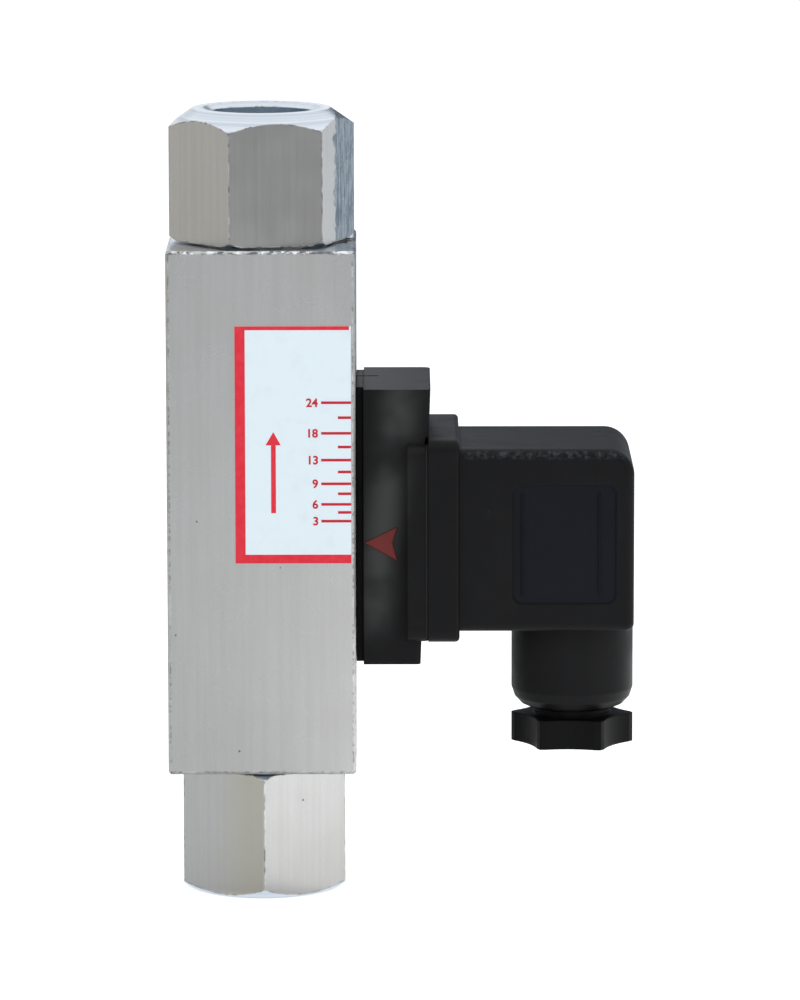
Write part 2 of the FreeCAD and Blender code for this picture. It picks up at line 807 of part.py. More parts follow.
def plug_housing():
    """Moulded plug: flange, square body, gland neck, cavity and recessed side panel."""
    body = new_body("plug_housing")
    flange = new_sketch(body, "YZ_Plane", size.flange_back)
    flange_low = size.head_centre - size.platform_rise
    rectangle(flange, -size.flange_half, flange_low, size.flange_half, size.flange_top)
    pad(body, flange, size.flange_front - size.flange_back)
    for side in (-size.flange_half.value, size.flange_half.value):
        for level in (flange_low.value, size.flange_top.value):
            dress(body, "Fillet", 1.8, (size.flange_back.value, side, level),
                  (size.flange_front.value, side, level))
    shoulder, inner = size.flange_front.value, size.flange_half.value - 1.8
    dress(body, "Fillet", 0.7, (shoulder, -inner, flange_low.value),
          (shoulder, inner, flange_low.value))
    main = new_sketch(body, "YZ_Plane", size.flange_front)
    rectangle(main, -size.plug_half, size.plug_bottom, size.plug_half, size.plug_top)
    pad(body, main, size.plug_front - size.flange_front)
    round_plug_edges(body)
    neck_top = size.plug_bottom + 1.2
    turned(body, [
        (0, size.neck_bottom), (7.0, size.neck_bottom), (8.3, size.neck_bottom + 0.6),
        (9.3, size.neck_bottom + 1.7), (size.neck_radius, size.neck_bottom + 3.2),
        (size.neck_radius, neck_top), (0, neck_top),
    ], axis=(size.neck_axis, 0.0))
    pocket(body, square(new_sketch(body, "YZ_Plane", size.flange_back), 14.2), 0.8, Reversed=True)
    cavity = square(new_sketch(body, "YZ_Plane", size.flange_back), size.plug_cavity)
    pocket(body, cavity, size.cavity_front - size.flange_back, Reversed=True)
    turned(body, [
        (0, size.neck_bottom), (size.gland_radius, size.neck_bottom),
        (size.gland_radius, size.gland_top), (5.2, size.gland_top),
        (5.2, size.gland_top + 4.0), (0, size.gland_top + 4.0),
    ], "Groove", axis=(size.neck_axis, 0.0))
    for radius, depth in ((3.4, 3.1), (1.7, size.plug_front - size.cavity_front + overcut)):
        hole = circle(new_sketch(body, "YZ_Plane", size.plug_front), radius, 0.0, size.head_centre)
        pocket(body, hole, depth)
    side_panel(body)


def round_plug_edges(body):
    """Round the outer end of the plug and its long edges, most at the top and far side."""
    front, half = size.plug_front.value, size.plug_half.value
    low, high = size.plug_bottom.value, size.plug_top.value
    dress(body, "Fillet", 4.2, (front, -half, high), (front, half, high))
    for side, radius in ((half, 4.0), (-half, 1.4)):
        dress(body, "Fillet", radius, (front, side, low), (front, side, high))
    dress(body, "Fillet", 1.2, (front, 1.4 - half, low), (front, half - 4.0, low))


def side_panel(body):
    """Shallow recess in the plug's front side, with an upright rib near either end."""
    left, right = size.plug_front - 19.4, size.plug_front - 2.9
    low, high = size.head_centre - 9.7, size.head_centre + 9.5
    face = new_sketch(body, "XZ_Plane", size.plug_half)
    rectangle(face, left, low, right, high)
    for rib in (left + 1.5, right - 2.8):
        rectangle(face, rib, low + 1.4, rib + 0.25, high - 1.4)
    depth = 0.35
    pocket(body, face, depth)
    y = -size.plug_half.value
    for x in (left, right):
        for z in (low, high):
            dress(body, "Fillet", 1.5, (x.value, y, z.value), (x.value, y + depth, z.value))


def plug_gasket():
    """Flat seal between the plug and the head, with a lip out to their edges."""
    body = new_body("plug_gasket")
    start = size.housing_front + fit
    lip = new_sketch(body, "YZ_Plane", start)
    reach, rise = 14.9, size.platform_rise - 0.2
    low, high = size.head_centre - rise, size.head_centre + rise
    rectangle(lip, -reach, low, reach, high)
    square(lip, 11.4)
    pad(body, lip, size.flange_back - fit - start)
    for side in (-reach, reach):
        for level in (low.value, high.value):
            dress(body, "Fillet", 1.8, (start.value, side, level),
                  (size.flange_back.value, side, level))
    bead = new_sketch(body, "YZ_Plane", start)
    square(bead, 14.1)
    square(bead, 11.4)
    pad(body, bead, size.flange_back + 0.8 - start)


def terminal_block():
    """Insert of the plug: slots for the blades on one side, screw terminals on the other."""
    body = new_body("terminal_block")
    half = 12.2
    pad(body, square(new_sketch(body, "YZ_Plane", block_back), half), block_front - block_back)
    slots_in(body, block_back, 8.5, 0.3, Reversed=True)
    bore = circle(new_sketch(body, "YZ_Plane", block_front), 1.9, 0.0, size.head_centre)
    pocket(body, bore, block_front - block_back + overcut)
    wells = new_sketch(body, "YZ_Plane", block_front)
    for _, y, z, _ in all_blades():
        circle(wells, 1.75, y, z)
    pocket(body, wells, 7.0)


def terminal_screws():
    """The four clamping screws of the terminal block."""
    screws = []
    for name, y, z, _ in all_blades():
        shank = primitive("Cylinder", f"{name}Screw", Radius=1.5, Height=6.0)
        place(shank, block_front - 6.4, y, z, ALONG_X)
        screws.append(shank)
    gather("terminal_screws", screws)


def gland_nut():
    """Compression nut: a threaded shank and a six-lobed grip with scooped sides."""
    body = new_body("gland_nut")
    place(body, x=size.neck_axis)
    turn, radius = -3.0, size.nut_radius
    grip = new_sketch(body, "XY_Plane", size.nut_bottom)
    polygon(grip, [
        (radius * math.cos(math.radians(60 * i + turn)),
         radius * math.sin(math.radians(60 * i + turn))) for i in range(6)
    ])
    pad(body, grip, size.nut_height)
    side, scoop_radius = math.radians(90.0 + turn), 12.0
    reach = radius * math.cos(math.radians(30)) - 0.65 + scoop_radius
    scoop = circle(new_sketch(body, "XY_Plane", nut_top), scoop_radius,
                   reach * math.cos(side), reach * math.sin(side))
    around(body, pocket(body, scoop, size.nut_height), 6)
    shank = circle(new_sketch(body, "XY_Plane", nut_top), size.gland_radius - fit)
    pad(body, shank, washer_bottom - nut_top)
    turned(body, [
        (0, size.nut_bottom), (5.0, size.nut_bottom), (3.9, size.nut_bottom + 1.1),
        (3.9, washer_bottom), (0, washer_bottom),
    ], "Groove")


def gland_seal():
    """Rubber bush that the nut squeezes onto the cable."""
    outer = size.gland_radius - 0.1
    turned(new_body("gland_seal"), [
        (size.cable_radius, washer_top), (outer, washer_top),
        (outer, size.gland_top - 1.1), (outer - 1.0, size.gland_top - 0.1),
        (size.cable_radius, size.gland_top - 0.1),
    ], axis=(size.neck_axis, 0.0))


# ---------------------------------------------------------------- assembly

def build():
    body_block()
    place(union("inlet_union", size.inlet_clocking.value + 30.0,
                as_dim(0), size.inlet_face_radius))
    place(union("outlet_union", -size.outlet_clocking.value,
                -size.outlet_extra, size.outlet_face_radius), z=total_height,
          rotation=UPSIDE_DOWN)
    seal_ring("inlet_seal_ring", seal_height())
    seal_ring("outlet_seal_ring", total_height - seal_height())
    nozzle_sleeve()
    spring_bridge()
    scale_label()
    piston()
    ring("piston_magnet", size.stem_radius + fit, size.magnet_radius, magnet_bottom, magnet_top)
    ring("magnet_retainer", size.stem_radius + fit, size.magnet_radius + fit,
         magnet_top + fit, size.stem_top)
    return_spring()
    switch_housing()
    reed_cover()
    pointer_arrow()
    slot_nut()
    screw_seat = size.housing_front - 4.9
    clamp = screw("clamp_screw", 2.0, 9.5, 3.5, 4.0, hex_socket)
    place(clamp, screw_seat + 0.5, 0.0, size.clamp_height, ALONG_X)
    washer = ring("clamp_washer", 2.1, 3.8, 0.0, 0.5 - 0.01)
    place(washer, screw_seat, 0.0, size.clamp_height, ALONG_X)
    reed_switch()
    reed_wire("signal_wire", 1)
    reed_wire("supply_wire", -1)
    terminal_base()
    contact_blades()
    plug_housing()
    plug_gasket()
    terminal_block()
    terminal_screws()
    seal_seat = size.plug_front - 3.1
    fixing = screw("fixing_screw", 1.5, 34.0, 2.75, 1.8, cross_slot)
    place(fixing, seal_seat + 0.6, 0.0, size.head_centre, ALONG_X)
    seal = ring("screw_seal", 1.6, 3.1, 0.0, 0.6 - 0.01)
    place(seal, seal_seat, 0.0, size.head_centre, ALONG_X)
    gland_seal()
    ring("gland_washer", 3.6, size.gland_radius - 0.1, washer_bottom + 0.02, washer_top - 0.02,
         axis=(size.neck_axis, 0.0))
    gland_nut()
    doc.recompute()


def check_and_export():
    for item in doc.Objects:
        if {"Invalid", "Error"} & set(item.State):
            raise ValueError(f"{item.Label}: {item.State} {item.getStatusString()}")
    for piece in parts:
        if piece.Shape.isNull() or not piece.Shape.isValid() or not piece.Shape.Solids:
            raise ValueError(f"{piece.Label} has no valid solid")
    os.makedirs("parts", exist_ok=True)
    for piece in parts:
        piece.Shape.exportStep(os.path.join("parts", f"{piece.Label}.step"))
        bounds = piece.Shape.BoundBox
        print(f"{piece.Label:18s} {len(piece.Shape.Solids)} solid {piece.Shape.Volume:9.1f} mm3 "
              f"x {bounds.XMin:.2f} {bounds.XMax:.2f} y {bounds.YMin:.2f} {bounds.YMax:.2f} "
              f"z {bounds.ZMin:.2f} {bounds.ZMax:.2f}")


build()
check_and_export()
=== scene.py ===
"""Looks of an in-line piston flow switch, laid out as an add-on and run as a script.

Everything is in metres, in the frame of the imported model: +Z along the flow, +X towards the
switch head, -Y towards the printed scale. Each new surface is worked out with numpy.
"""

import math

import bmesh
import bpy
import numpy as np
from bpy.props import FloatProperty, FloatVectorProperty, IntProperty, PointerProperty
from mathutils import Matrix, Vector


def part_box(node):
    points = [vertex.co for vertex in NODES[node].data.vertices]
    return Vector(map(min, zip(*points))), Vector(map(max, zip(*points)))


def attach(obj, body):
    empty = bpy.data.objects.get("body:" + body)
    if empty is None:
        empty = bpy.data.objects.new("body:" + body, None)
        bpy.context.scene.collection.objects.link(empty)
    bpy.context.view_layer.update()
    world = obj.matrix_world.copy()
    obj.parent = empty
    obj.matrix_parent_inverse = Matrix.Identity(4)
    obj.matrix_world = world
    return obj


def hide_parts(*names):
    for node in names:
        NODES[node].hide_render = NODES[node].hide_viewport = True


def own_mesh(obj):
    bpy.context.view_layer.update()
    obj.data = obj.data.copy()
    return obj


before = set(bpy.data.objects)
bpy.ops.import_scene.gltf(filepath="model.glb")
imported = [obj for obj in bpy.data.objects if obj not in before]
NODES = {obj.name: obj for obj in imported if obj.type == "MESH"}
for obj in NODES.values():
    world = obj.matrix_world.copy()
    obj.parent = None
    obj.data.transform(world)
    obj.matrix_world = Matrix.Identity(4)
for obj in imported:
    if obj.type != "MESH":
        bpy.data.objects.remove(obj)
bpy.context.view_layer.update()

bl_info = {
    "name": "Flow Switch Looks",
    "version": (1, 0, 0),
    "blender": (4, 5, 0),
    "location": "View3D > Sidebar > Flow Switch",
    "description": "Finishes, printed scale, pipe threads and stage of a piston flow switch",
    "category": "Object",
}

MM = 0.001


# ---------------------------------------------------------------- properties

def colour(name, description, default):
    """A colour setting, as shares of red, green and blue."""
    return FloatVectorProperty(name=name, description=description, default=default,
                               subtype="COLOR", min=0.0, max=1.0, size=3)


def length(name, description, millimetres):
    """A length setting, kept in metres."""
    return FloatProperty(name=name, description=description, default=millimetres * MM,
                         unit="LENGTH", min=0.0)


def share(name, description, default):
    """A setting from 0 to 1."""
    return FloatProperty(name=name, description=description, default=default,
                         subtype="FACTOR", min=0.0, max=1.0)


class FlowSwitchMetal(bpy.types.PropertyGroup):
    nickel: colour("Nickel", "Colour of the plated bar and unions", (0.57, 0.57, 0.56))
    stain: colour("Stain", "Colour the plating dulls towards", (0.50, 0.485, 0.45))
    brass: colour("Brass", "Colour of the turned inner pieces", (0.76, 0.58, 0.29))
    zinc: colour("Zinc", "Colour of the plated screws", (0.66, 0.66, 0.62))
    roughness: share("Roughness", "Roughness of the ground plating", 0.27)


class FlowSwitchPlastic(bpy.types.PropertyGroup):
    black: colour("Black", "Colour of the moulded housings", (0.0046, 0.0046, 0.0052))
    worn: colour("Worn black", "Colour where the moulding has dulled", (0.012, 0.012, 0.0125))
    pointer: colour("Pointer", "Colour of the pointer", (0.145, 0.020, 0.017))
    grey: colour("Grey", "Colour of the terminal inserts", (0.16, 0.16, 0.165))
    grain: length("Grain", "Size of the moulded grain", 0.12)


class FlowSwitchPrint(bpy.types.PropertyGroup):
    film: colour("Film", "Ground colour of the scale", (0.81, 0.91, 0.965))
    ink: colour("Ink", "Colour of the print", (0.77, 0.018, 0.040))
    left_border: length("Left border", "Width of the border's left side", 1.6)
    top_border: length("Top border", "Width of the border's top side", 0.6)
    bottom_border: length("Bottom border", "Width of the border's lower side", 1.4)
    line: length("Line", "Thickness of the scale's lines", 0.42)
    figure: length("Figure height", "Height of the figures", 1.32)


class FlowSwitchThread(bpy.types.PropertyGroup):
    pitch: length("Pitch", "Pitch of the pipe thread", 1.337)
    crest: length("Crest", "Radius of the thread's crest", 7.48)
    root: length("Root", "Radius of the thread's root", 8.42)
    run: length("Run", "Threaded length of a port", 10.0)
    steps: IntProperty(name="Steps", description="Points in one turn", default=96, min=12)


class FlowSwitchStage(bpy.types.PropertyGroup):
    floor: colour("Floor", "Colour of the floor", (0.76, 0.76, 0.76))
    elevation: FloatProperty(name="Elevation", description="Camera's height above the horizon",
                             default=math.radians(9.25), subtype="ANGLE")
    roll: FloatProperty(name="Roll", description="Turn of the camera about its own axis",
                        default=math.radians(-0.08), subtype="ANGLE")
    distance: FloatProperty(name="Distance", description="From the camera to the object",
                            default=1.05, unit="LENGTH", min=0.1)
    view_height: length("View height", "Height of the view at the object", 161.0)
    lamp: FloatProperty(name="Lamps", description="Overall level of the lamps",
                        default=1.0, min=0.0)


class FlowSwitchSettings(bpy.types.PropertyGroup):
    metal: PointerProperty(type=FlowSwitchMetal, name="Metal", description="Metal finishes")
    plastic: PointerProperty(type=FlowSwitchPlastic, name="Plastic",
                             description="Plastic finishes")
    printed: PointerProperty(type=FlowSwitchPrint, name="Print", description="Printed scale")
    thread: PointerProperty(type=FlowSwitchThread, name="Thread", description="Pipe thread")
    stage: PointerProperty(type=FlowSwitchStage, name="Stage", description="Floor and light")


# ---------------------------------------------------------------- meshes from arrays

def mesh_piece(name, points, faces, body):
    """A mesh object from an (n, 3) array of points and a list of faces, riding on a body."""
    mesh = bpy.data.meshes.new(name)
    mesh.from_pydata(points.tolist(), [], faces)
    mesh.validate()
    mesh.update()
    piece = bpy.data.objects.new(name, mesh)
    bpy.context.scene.collection.objects.link(piece)
    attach(piece, body)
    return piece


def grid_faces(rows, columns, wrap=False, ring=False):
    """Quads of a grid of points stored row by row.

    Wrap joins the last column to the first, and ring the last row to the first.
    """
    across = columns if wrap else columns - 1
    along = rows if ring else rows - 1
    row, column = np.meshgrid(np.arange(along), np.arange(across), indexing="ij")
    after, beside = (row + 1) % rows, (column + 1) % columns
    quads = np.stack([row * columns + column, row * columns + beside,
                      after * columns + beside, after * columns + column], axis=-1)
    return quads.reshape(-1, 4).tolist()


def swept_tube(centres, sides, ups, profile):
    """A closed tube: the profile (u, v) placed at each centre along its side and up vectors.

    Point (i, j) = centre i + u j * side i + v j * up i. The profile may differ from centre to
    centre. Both ends are closed by one face.
    """
    if profile.ndim == 2:
        profile = np.broadcast_to(profile, (len(centres),) + profile.shape)
    points = (centres[:, None, :] + profile[..., :1] * sides[:, None, :]
              + profile[..., 1:] * ups[:, None, :])
    count = profile.shape[1]
    faces = grid_faces(len(centres), count, wrap=True)
    last = (len(centres) - 1) * count
    faces.append(tuple(reversed(range(count))))
    faces.append(tuple(last + i for i in range(count)))
    return points.reshape(-1, 3), faces


def outward(piece):
    """Make all faces of a closed mesh point outwards."""
    work = bmesh.new()
    work.from_mesh(piece.data)
    bmesh.ops.recalc_face_normals(work, faces=work.faces)
    work.to_mesh(piece.data)
    work.free()
    return piece


def smooth(piece, angle=40.0):
    """Smooth shading, with the edges sharper than the angle kept."""
    piece.data.shade_smooth()
    piece.data.set_sharp_from_angle(angle=math.radians(angle))
    return piece


def ease(share_along):
    """Smooth step from 0 to 1: three times the square minus two times the cube."""
    t = np.clip(share_along, 0.0, 1.0)
    return t * t * (3.0 - 2.0 * t)


# ---------------------------------------------------------------- node materials

# tones of marks and of painted light (reflections, shade and highlights), as shares of red, green
# and blue
TURNED_FACE_REFLECTION = (0.56, 0.64, 0.73), (0.78, 0.83, 0.90)
BORE_SHADE = (0.42, 0.50, 0.58)
CUT_THREAD = (0.66, 0.72, 0.80)
EDGE_WEAR_AND_HIGHLIGHT = (0.92, 0.92, 0.92)
WARM_TINT = (0.53, 0.51, 0.42)
SCUFFED = (0.075, 0.115, 0.155), (0.28, 0.345, 0.40)
FLAKE = (0.88, 0.96, 1.0)
BAR_TOP_REFLECTION = (0.62, 0.66, 0.70)
RIM_GLINT = (0.95, 0.97, 1.0)
DARK_NICK = (0.10, 0.11, 0.12)
HEAD_SHEEN = (0.047, 0.047, 0.047)
PLUG_PANEL = (0.0050, 0.0055, 0.0095)
EDGE_DUST_AND_HIGHLIGHT = (0.044, 0.045, 0.054)
LOOSE_DUST = (0.12, 0.12, 0.12)
THIN_INK = (0.86, 0.10, 0.13)
DEEP_INK = (0.60, 0.012, 0.032)
BARE_FILM = (0.86, 0.80, 0.82)


class Finish:
    """A material under construction. Its patterns read Object coordinates."""

    def __init__(self, name):
        self.material = bpy.data.materials.new(name)
        self.material.use_nodes = True
        self.tree = self.material.node_tree
        self.tree.nodes.clear()
        self.place = self.add("ShaderNodeTexCoord").outputs["Object"]
        self.bumps = None

    def add(self, kind, inputs=None, **settings):
        """Add a node; inputs are numbers to set or sockets to join."""
        node = self.tree.nodes.new(kind)
        for key, value in settings.items():
            setattr(node, key, value)
        for key, value in (inputs or {}).items():
            if isinstance(value, bpy.types.NodeSocket):
                self.tree.links.new(value, node.inputs[key])
            else:
                node.inputs[key].default_value = value
        return node

    def maths(self, operation, *values):
        """An operation on numbers or sockets."""
        return self.add("ShaderNodeMath", dict(enumerate(values)), operation=operation).outputs[0]

    def times(self, product, *factors):
        """The product of numbers or sockets."""
        for factor in factors:
            product = self.maths("MULTIPLY", product, factor)
        return product

    def axis(self, letter, vector=None):
        """One part of a vector, or of the Object coordinates, which are in metres."""
        inputs = {"Vector": vector or self.place}
        return self.add("ShaderNodeSeparateXYZ", inputs).outputs[letter]

    def reach(self, vector):
        """The length of a vector."""
        return self.add("ShaderNodeVectorMath", {0: vector}, operation="LENGTH").outputs["Value"]

    def stretched(self, scale):
        """Object coordinates, scaled differently along each axis."""
        return self.add("ShaderNodeMapping", {"Vector": self.place, "Scale": scale}).outputs[0]

    def between(self, value, low, high, to_low=0.0, to_high=1.0):
        """Map a range of a value smoothly onto another."""
        inputs = {"Value": value, "From Min": low, "From Max": high,
                  "To Min": to_low, "To Max": to_high}
        return self.add("ShaderNodeMapRange", inputs,
                        interpolation_type="SMOOTHSTEP").outputs["Result"]

    def within(self, value, middle, half, soft):
        """1 where a value is within half of the middle, 0 where it is more than soft farther."""
        apart = self.maths("ABSOLUTE", self.maths("SUBTRACT", value, middle))
        return self.between(apart, half, half + soft, 1.0, 0.0)

    def noise(self, size, detail=3.0, roughness=0.5, at=None):
        """Noise whose features are about the given size in metres."""
        inputs = {"Scale": 1.0 / size, "Detail": detail, "Roughness": roughness,
                  "Vector": at or self.place}
        return self.add("ShaderNodeTexNoise", inputs).outputs["Fac"]

    def patches(self, size, low, high, detail=3.0, roughness=0.5, at=None, least=0.0, most=1.0):
        """Irregular patches: noise, with its range from low to high mapped onto least to most."""
        return self.between(self.noise(size, detail, roughness, at), low, high, least, most)

    def specks(self, cell, amount, radius):
        """Round spots in a share of the cells of a pattern.

        A cell is measured in metres, and the radius of a spot is a share of it.
        """
        fade = 0.02
        cells = self.add("ShaderNodeTexVoronoi", {"Vector": self.place, "Scale": 1.0 / cell})
        near = self.between(cells.outputs["Distance"], radius * 0.5, radius, 1.0, 0.0)
        pick = self.add("ShaderNodeSeparateColor", {"Color": cells.outputs["Color"]})
        chosen = self.between(pick.outputs[0], 1.0 - amount, 1.0 - amount + fade)
        return self.times(near, chosen)

    def mix(self, share_of_second, first, second):
        """Mix two colours. The sockets 0, 6 and 7 are those that a colour mix uses."""
        inputs = {0: share_of_second, 6: rgba(first), 7: rgba(second)}
        return self.add("ShaderNodeMix", inputs, data_type="RGBA").outputs[2]

    def laid_over(self, body, mask, tone, strength=1.0):
        """A colour with a tone over it where the mask is 1, as strongly as given."""
        share_of_tone = mask if strength == 1.0 else self.times(mask, strength)
        return self.mix(share_of_tone, body, tone)

    def rounded_normal(self, radius):
        """The surface's normal, as if its edges were rounded."""
        return self.add("ShaderNodeBevel", {"Radius": radius}, samples=4).outputs["Normal"]

    def soften_edges(self, radius):
        """Shade sharp edges as rounded ones."""
        self.bumps = self.rounded_normal(radius)

    def edge_mask(self, radius):
        """1 on edges, where the rounded normal leaves the flat one, and 0 away from them."""
        flat = self.add("ShaderNodeNewGeometry").outputs["Normal"]
        cosine = self.add("ShaderNodeVectorMath", {0: self.rounded_normal(radius), 1: flat},
                          operation="DOT_PRODUCT").outputs["Value"]
        on_edge, off_edge = 0.90, 0.995
        return self.between(cosine, on_edge, off_edge, 1.0, 0.0)

    def bump(self, height, depth, strength=1.0):
        """Add relief of the given depth in metres on top of the relief so far."""
        inputs = {"Height": height, "Distance": depth, "Strength": strength}
        if self.bumps is not None:
            inputs["Normal"] = self.bumps
        self.bumps = self.add("ShaderNodeBump", inputs).outputs["Normal"]

    def finish(self, base, **values):
        """Join the shader; values are Principled inputs by name."""
        inputs = {"Base Color": rgba(base)}
        inputs.update({key.replace("_", " "): value for key, value in values.items()})
        if self.bumps is not None:
            inputs["Normal"] = self.bumps
        shader = self.add("ShaderNodeBsdfPrincipled", inputs)
        return self.show(shader)

    def show(self, shader):
        """Join a shader to the material's surface."""
        self.add("ShaderNodeOutputMaterial", {"Surface": shader.outputs[0]})
        return self.material


def rgba(value):
    """Three numbers as a colour with full alpha; a socket is left as it is."""
    return value if isinstance(value, bpy.types.NodeSocket) else (*tuple(value)[:3], 1.0)


def dress(material, *names):
    """Give CAD nodes a material."""
    for name in names:
        slots = NODES[name].data.materials
        slots.clear()
        slots.append(material)


def scaled(tone, factor):
    """A tone made lighter or darker."""
    return tuple(min(1.0, channel * factor) for channel in tone)


def plated(name, tone, stain, roughness, along, marks=None):
    """Ground and plated metal: drawn streaks, cloudy stains, small pits, nicked edges, and edges
    made brighter, partly rubbed plating and partly a painted highlight.

    Along is the scale that draws the streaks out. Marks adds what this piece alone shows.
    """
    metal = Finish(name)
    metal.soften_edges(0.25 * MM)
    edges = metal.edge_mask(0.5 * MM)
    streaks = metal.noise(1.1 * MM, roughness=0.6, at=metal.stretched(along))
    body = metal.mix(metal.between(streaks, 0.3, 0.7), scaled(tone, 0.965), scaled(tone, 1.03))
    grain = metal.patches(0.35 * MM, 0.35, 0.65, roughness=0.7, most=0.30)
    body = metal.mix(grain, body, scaled(tone, 0.86))
    clouds = metal.patches(14 * MM, 0.36, 0.76, detail=2.0)
    body = metal.laid_over(body, clouds, stain, strength=0.25)
    pits = metal.specks(3.4 * MM, amount=0.14, radius=0.07)
    body = metal.laid_over(body, pits, scaled(stain, 0.25), strength=0.75)
    body = marks(metal, body) if marks else body
    nicks = metal.patches(0.8 * MM, 0.50, 0.57)
    body = metal.laid_over(body, metal.times(nicks, edges), scaled(stain, 0.10), strength=0.9)
    # Edges made brighter in patches: partly rubbed plating, partly a painted highlight.
    wear_and_highlight = metal.patches(2.3 * MM, 0.50, 0.62, detail=2.0, most=0.8)
    crest = metal.between(edges, 0.6, 1.0)
    body = metal.mix(metal.times(wear_and_highlight, crest), body, EDGE_WEAR_AND_HIGHLIGHT)
    metal.bump(streaks, 0.02 * MM, strength=0.25)
    metal.bump(pits, -0.06 * MM, strength=0.6)
    rough = metal.patches(6 * MM, 0.3, 0.75, detail=1.0, least=roughness, most=roughness + 0.03)
    return metal.finish(body, Metallic=1.0, Roughness=rough)


def painted_reflection_on_ends(metal, body):
    """Painted light on the turned faces: a bluish-white painted reflection on the end face and
    chamfers, crossed by turning rings, and a painted bluish shade on the bore's wall.
    """
    bore_radius, soft = 9.6 * MM, 0.4 * MM
    normal = metal.add("ShaderNodeTexCoord").outputs["Normal"]
    lean = metal.maths("ABSOLUTE", metal.axis("Z", normal))
    from_axis = metal.reach(metal.stretched((1.0, 1.0, 0.0)))
    ring = metal.add("ShaderNodeCombineXYZ", {"X": from_axis, "Z": metal.axis("Z")}).outputs[0]
    rings = metal.patches(1.0 * MM, 0.34, 0.66, roughness=0.6, at=ring)
    in_bore = metal.between(from_axis, bore_radius, bore_radius + soft, 1.0, 0.0)
    # The bore's wall takes a painted bluish shade.
    body = metal.mix(in_bore, body, BORE_SHADE)
    # Faces that face up or down take bluish-white tones: a painted reflection, crossed by turning
    # rings.
    return metal.mix(metal.between(lean, 0.15, 0.35), body, metal.mix(rings, *TURNED_FACE_REFLECTION))


def warm_flat(metal, body):
    """Painted reflections on the ends, and a yellowish tint on the flat left of the front corner
    at x = 0.
    """
    x, soft = metal.axis("X"), 0.1 * MM
    warm_patch = metal.times(metal.between(x, -8.5 * MM, -2.0 * MM),
                       metal.between(x, -soft, soft, 1.0, 0.0))
    return painted_reflection_on_ends(metal, metal.laid_over(body, warm_patch, WARM_TINT, strength=0.7))


def scuffed_corner(metal, body):
    """Painted reflections on the ends, and a dark and crackled corner where the plating is
    scuffed.
    """
    start, soft, ragged = 12.3 * MM, 0.3 * MM, 1.6 * MM
    border = metal.maths("MULTIPLY_ADD", metal.noise(2.2 * MM), ragged, metal.axis("X"))
    inside = metal.between(border, start, start + soft)
    streaks = metal.patches(0.7 * MM, 0.36, 0.62, roughness=0.6,
                            at=metal.stretched((1.0, 1.0, 0.22)))
    flakes = metal.patches(0.4 * MM, 0.60, 0.67, detail=4.0, roughness=0.75,
                           at=metal.stretched((1.0, 1.0, 0.5)))
    scuff = metal.mix(flakes, metal.mix(streaks, *SCUFFED), FLAKE)
    metal.bump(metal.times(flakes, inside), 0.04 * MM, strength=0.4)
    return metal.laid_over(painted_reflection_on_ends(metal, body), inside, scuff, strength=0.95)


def painted_top_and_nicked_rim(metal, body):
    """A painted reflection that brightens the bar's upper end, with dark nicks and painted bright
    glints along its rim.
    """
    top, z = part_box("body_block")[1].z, metal.axis("Z")
    # The upper face is made paler and bluer: a painted reflection.
    body = metal.mix(metal.between(z, top - 0.3 * MM, top - 0.1 * MM), body, BAR_TOP_REFLECTION)
    rim = metal.within(z, top - 0.25 * MM, half=0.15 * MM, soft=0.15 * MM)
    dark = metal.patches(1.2 * MM, 0.48, 0.56, detail=4.0, roughness=0.7)
    pale = metal.patches(0.9 * MM, 0.50, 0.58, detail=4.0, roughness=0.7,
                         at=metal.stretched((0.7, 1.0, 1.0)))
    # The pale dots along the rim are painted glints; the dark ones are nicks.
    body = metal.mix(metal.times(rim, pale), body, RIM_GLINT)
    return metal.laid_over(body, metal.times(rim, dark), DARK_NICK, strength=0.85)


def turned_metal(name, tone, roughness, axis="Z"):
    """Turned metal: fine rings across the axis and a little cloudiness."""
    metal = Finish(name)
    across = {"X": (1.0, 0.02, 0.02), "Z": (0.02, 0.02, 1.0)}[axis]
    rings = metal.noise(0.16 * MM, detail=1.0, at=metal.stretched(across))
    clouds = metal.patches(4 * MM, 0.35, 0.7)
    body = metal.laid_over(tone, clouds, scaled(tone, 0.78), strength=0.35)
    metal.bump(rings, 0.02 * MM, strength=0.4)
    rough = metal.between(rings, 0.3, 0.7, roughness - 0.03, roughness + 0.07)
    return metal.finish(body, Metallic=1.0, Roughness=rough)


def painted_sheen_band(plastic, body):
    """A paler band on the front of the head, a painted sheen, which leans to the right."""
    sideways = 0.128
    x = plastic.maths("MULTIPLY_ADD", plastic.axis("Z"), -sideways, plastic.axis("X"))
    band = plastic.within(x, 11.7 * MM, half=0.0, soft=5.0 * MM)
    front = plastic.between(plastic.axis("Y"), -12.8 * MM, -12.4 * MM, 1.0, 0.0)
    patches = plastic.patches(10 * MM, 0.34, 0.64, detail=2.0, least=0.15)
    height = plastic.within(plastic.axis("Z"), 64 * MM, half=14 * MM, soft=12 * MM)
    # The band is a painted sheen, standing in for a soft highlight.
    return plastic.mix(plastic.times(band, front, patches, height), body, HEAD_SHEEN)


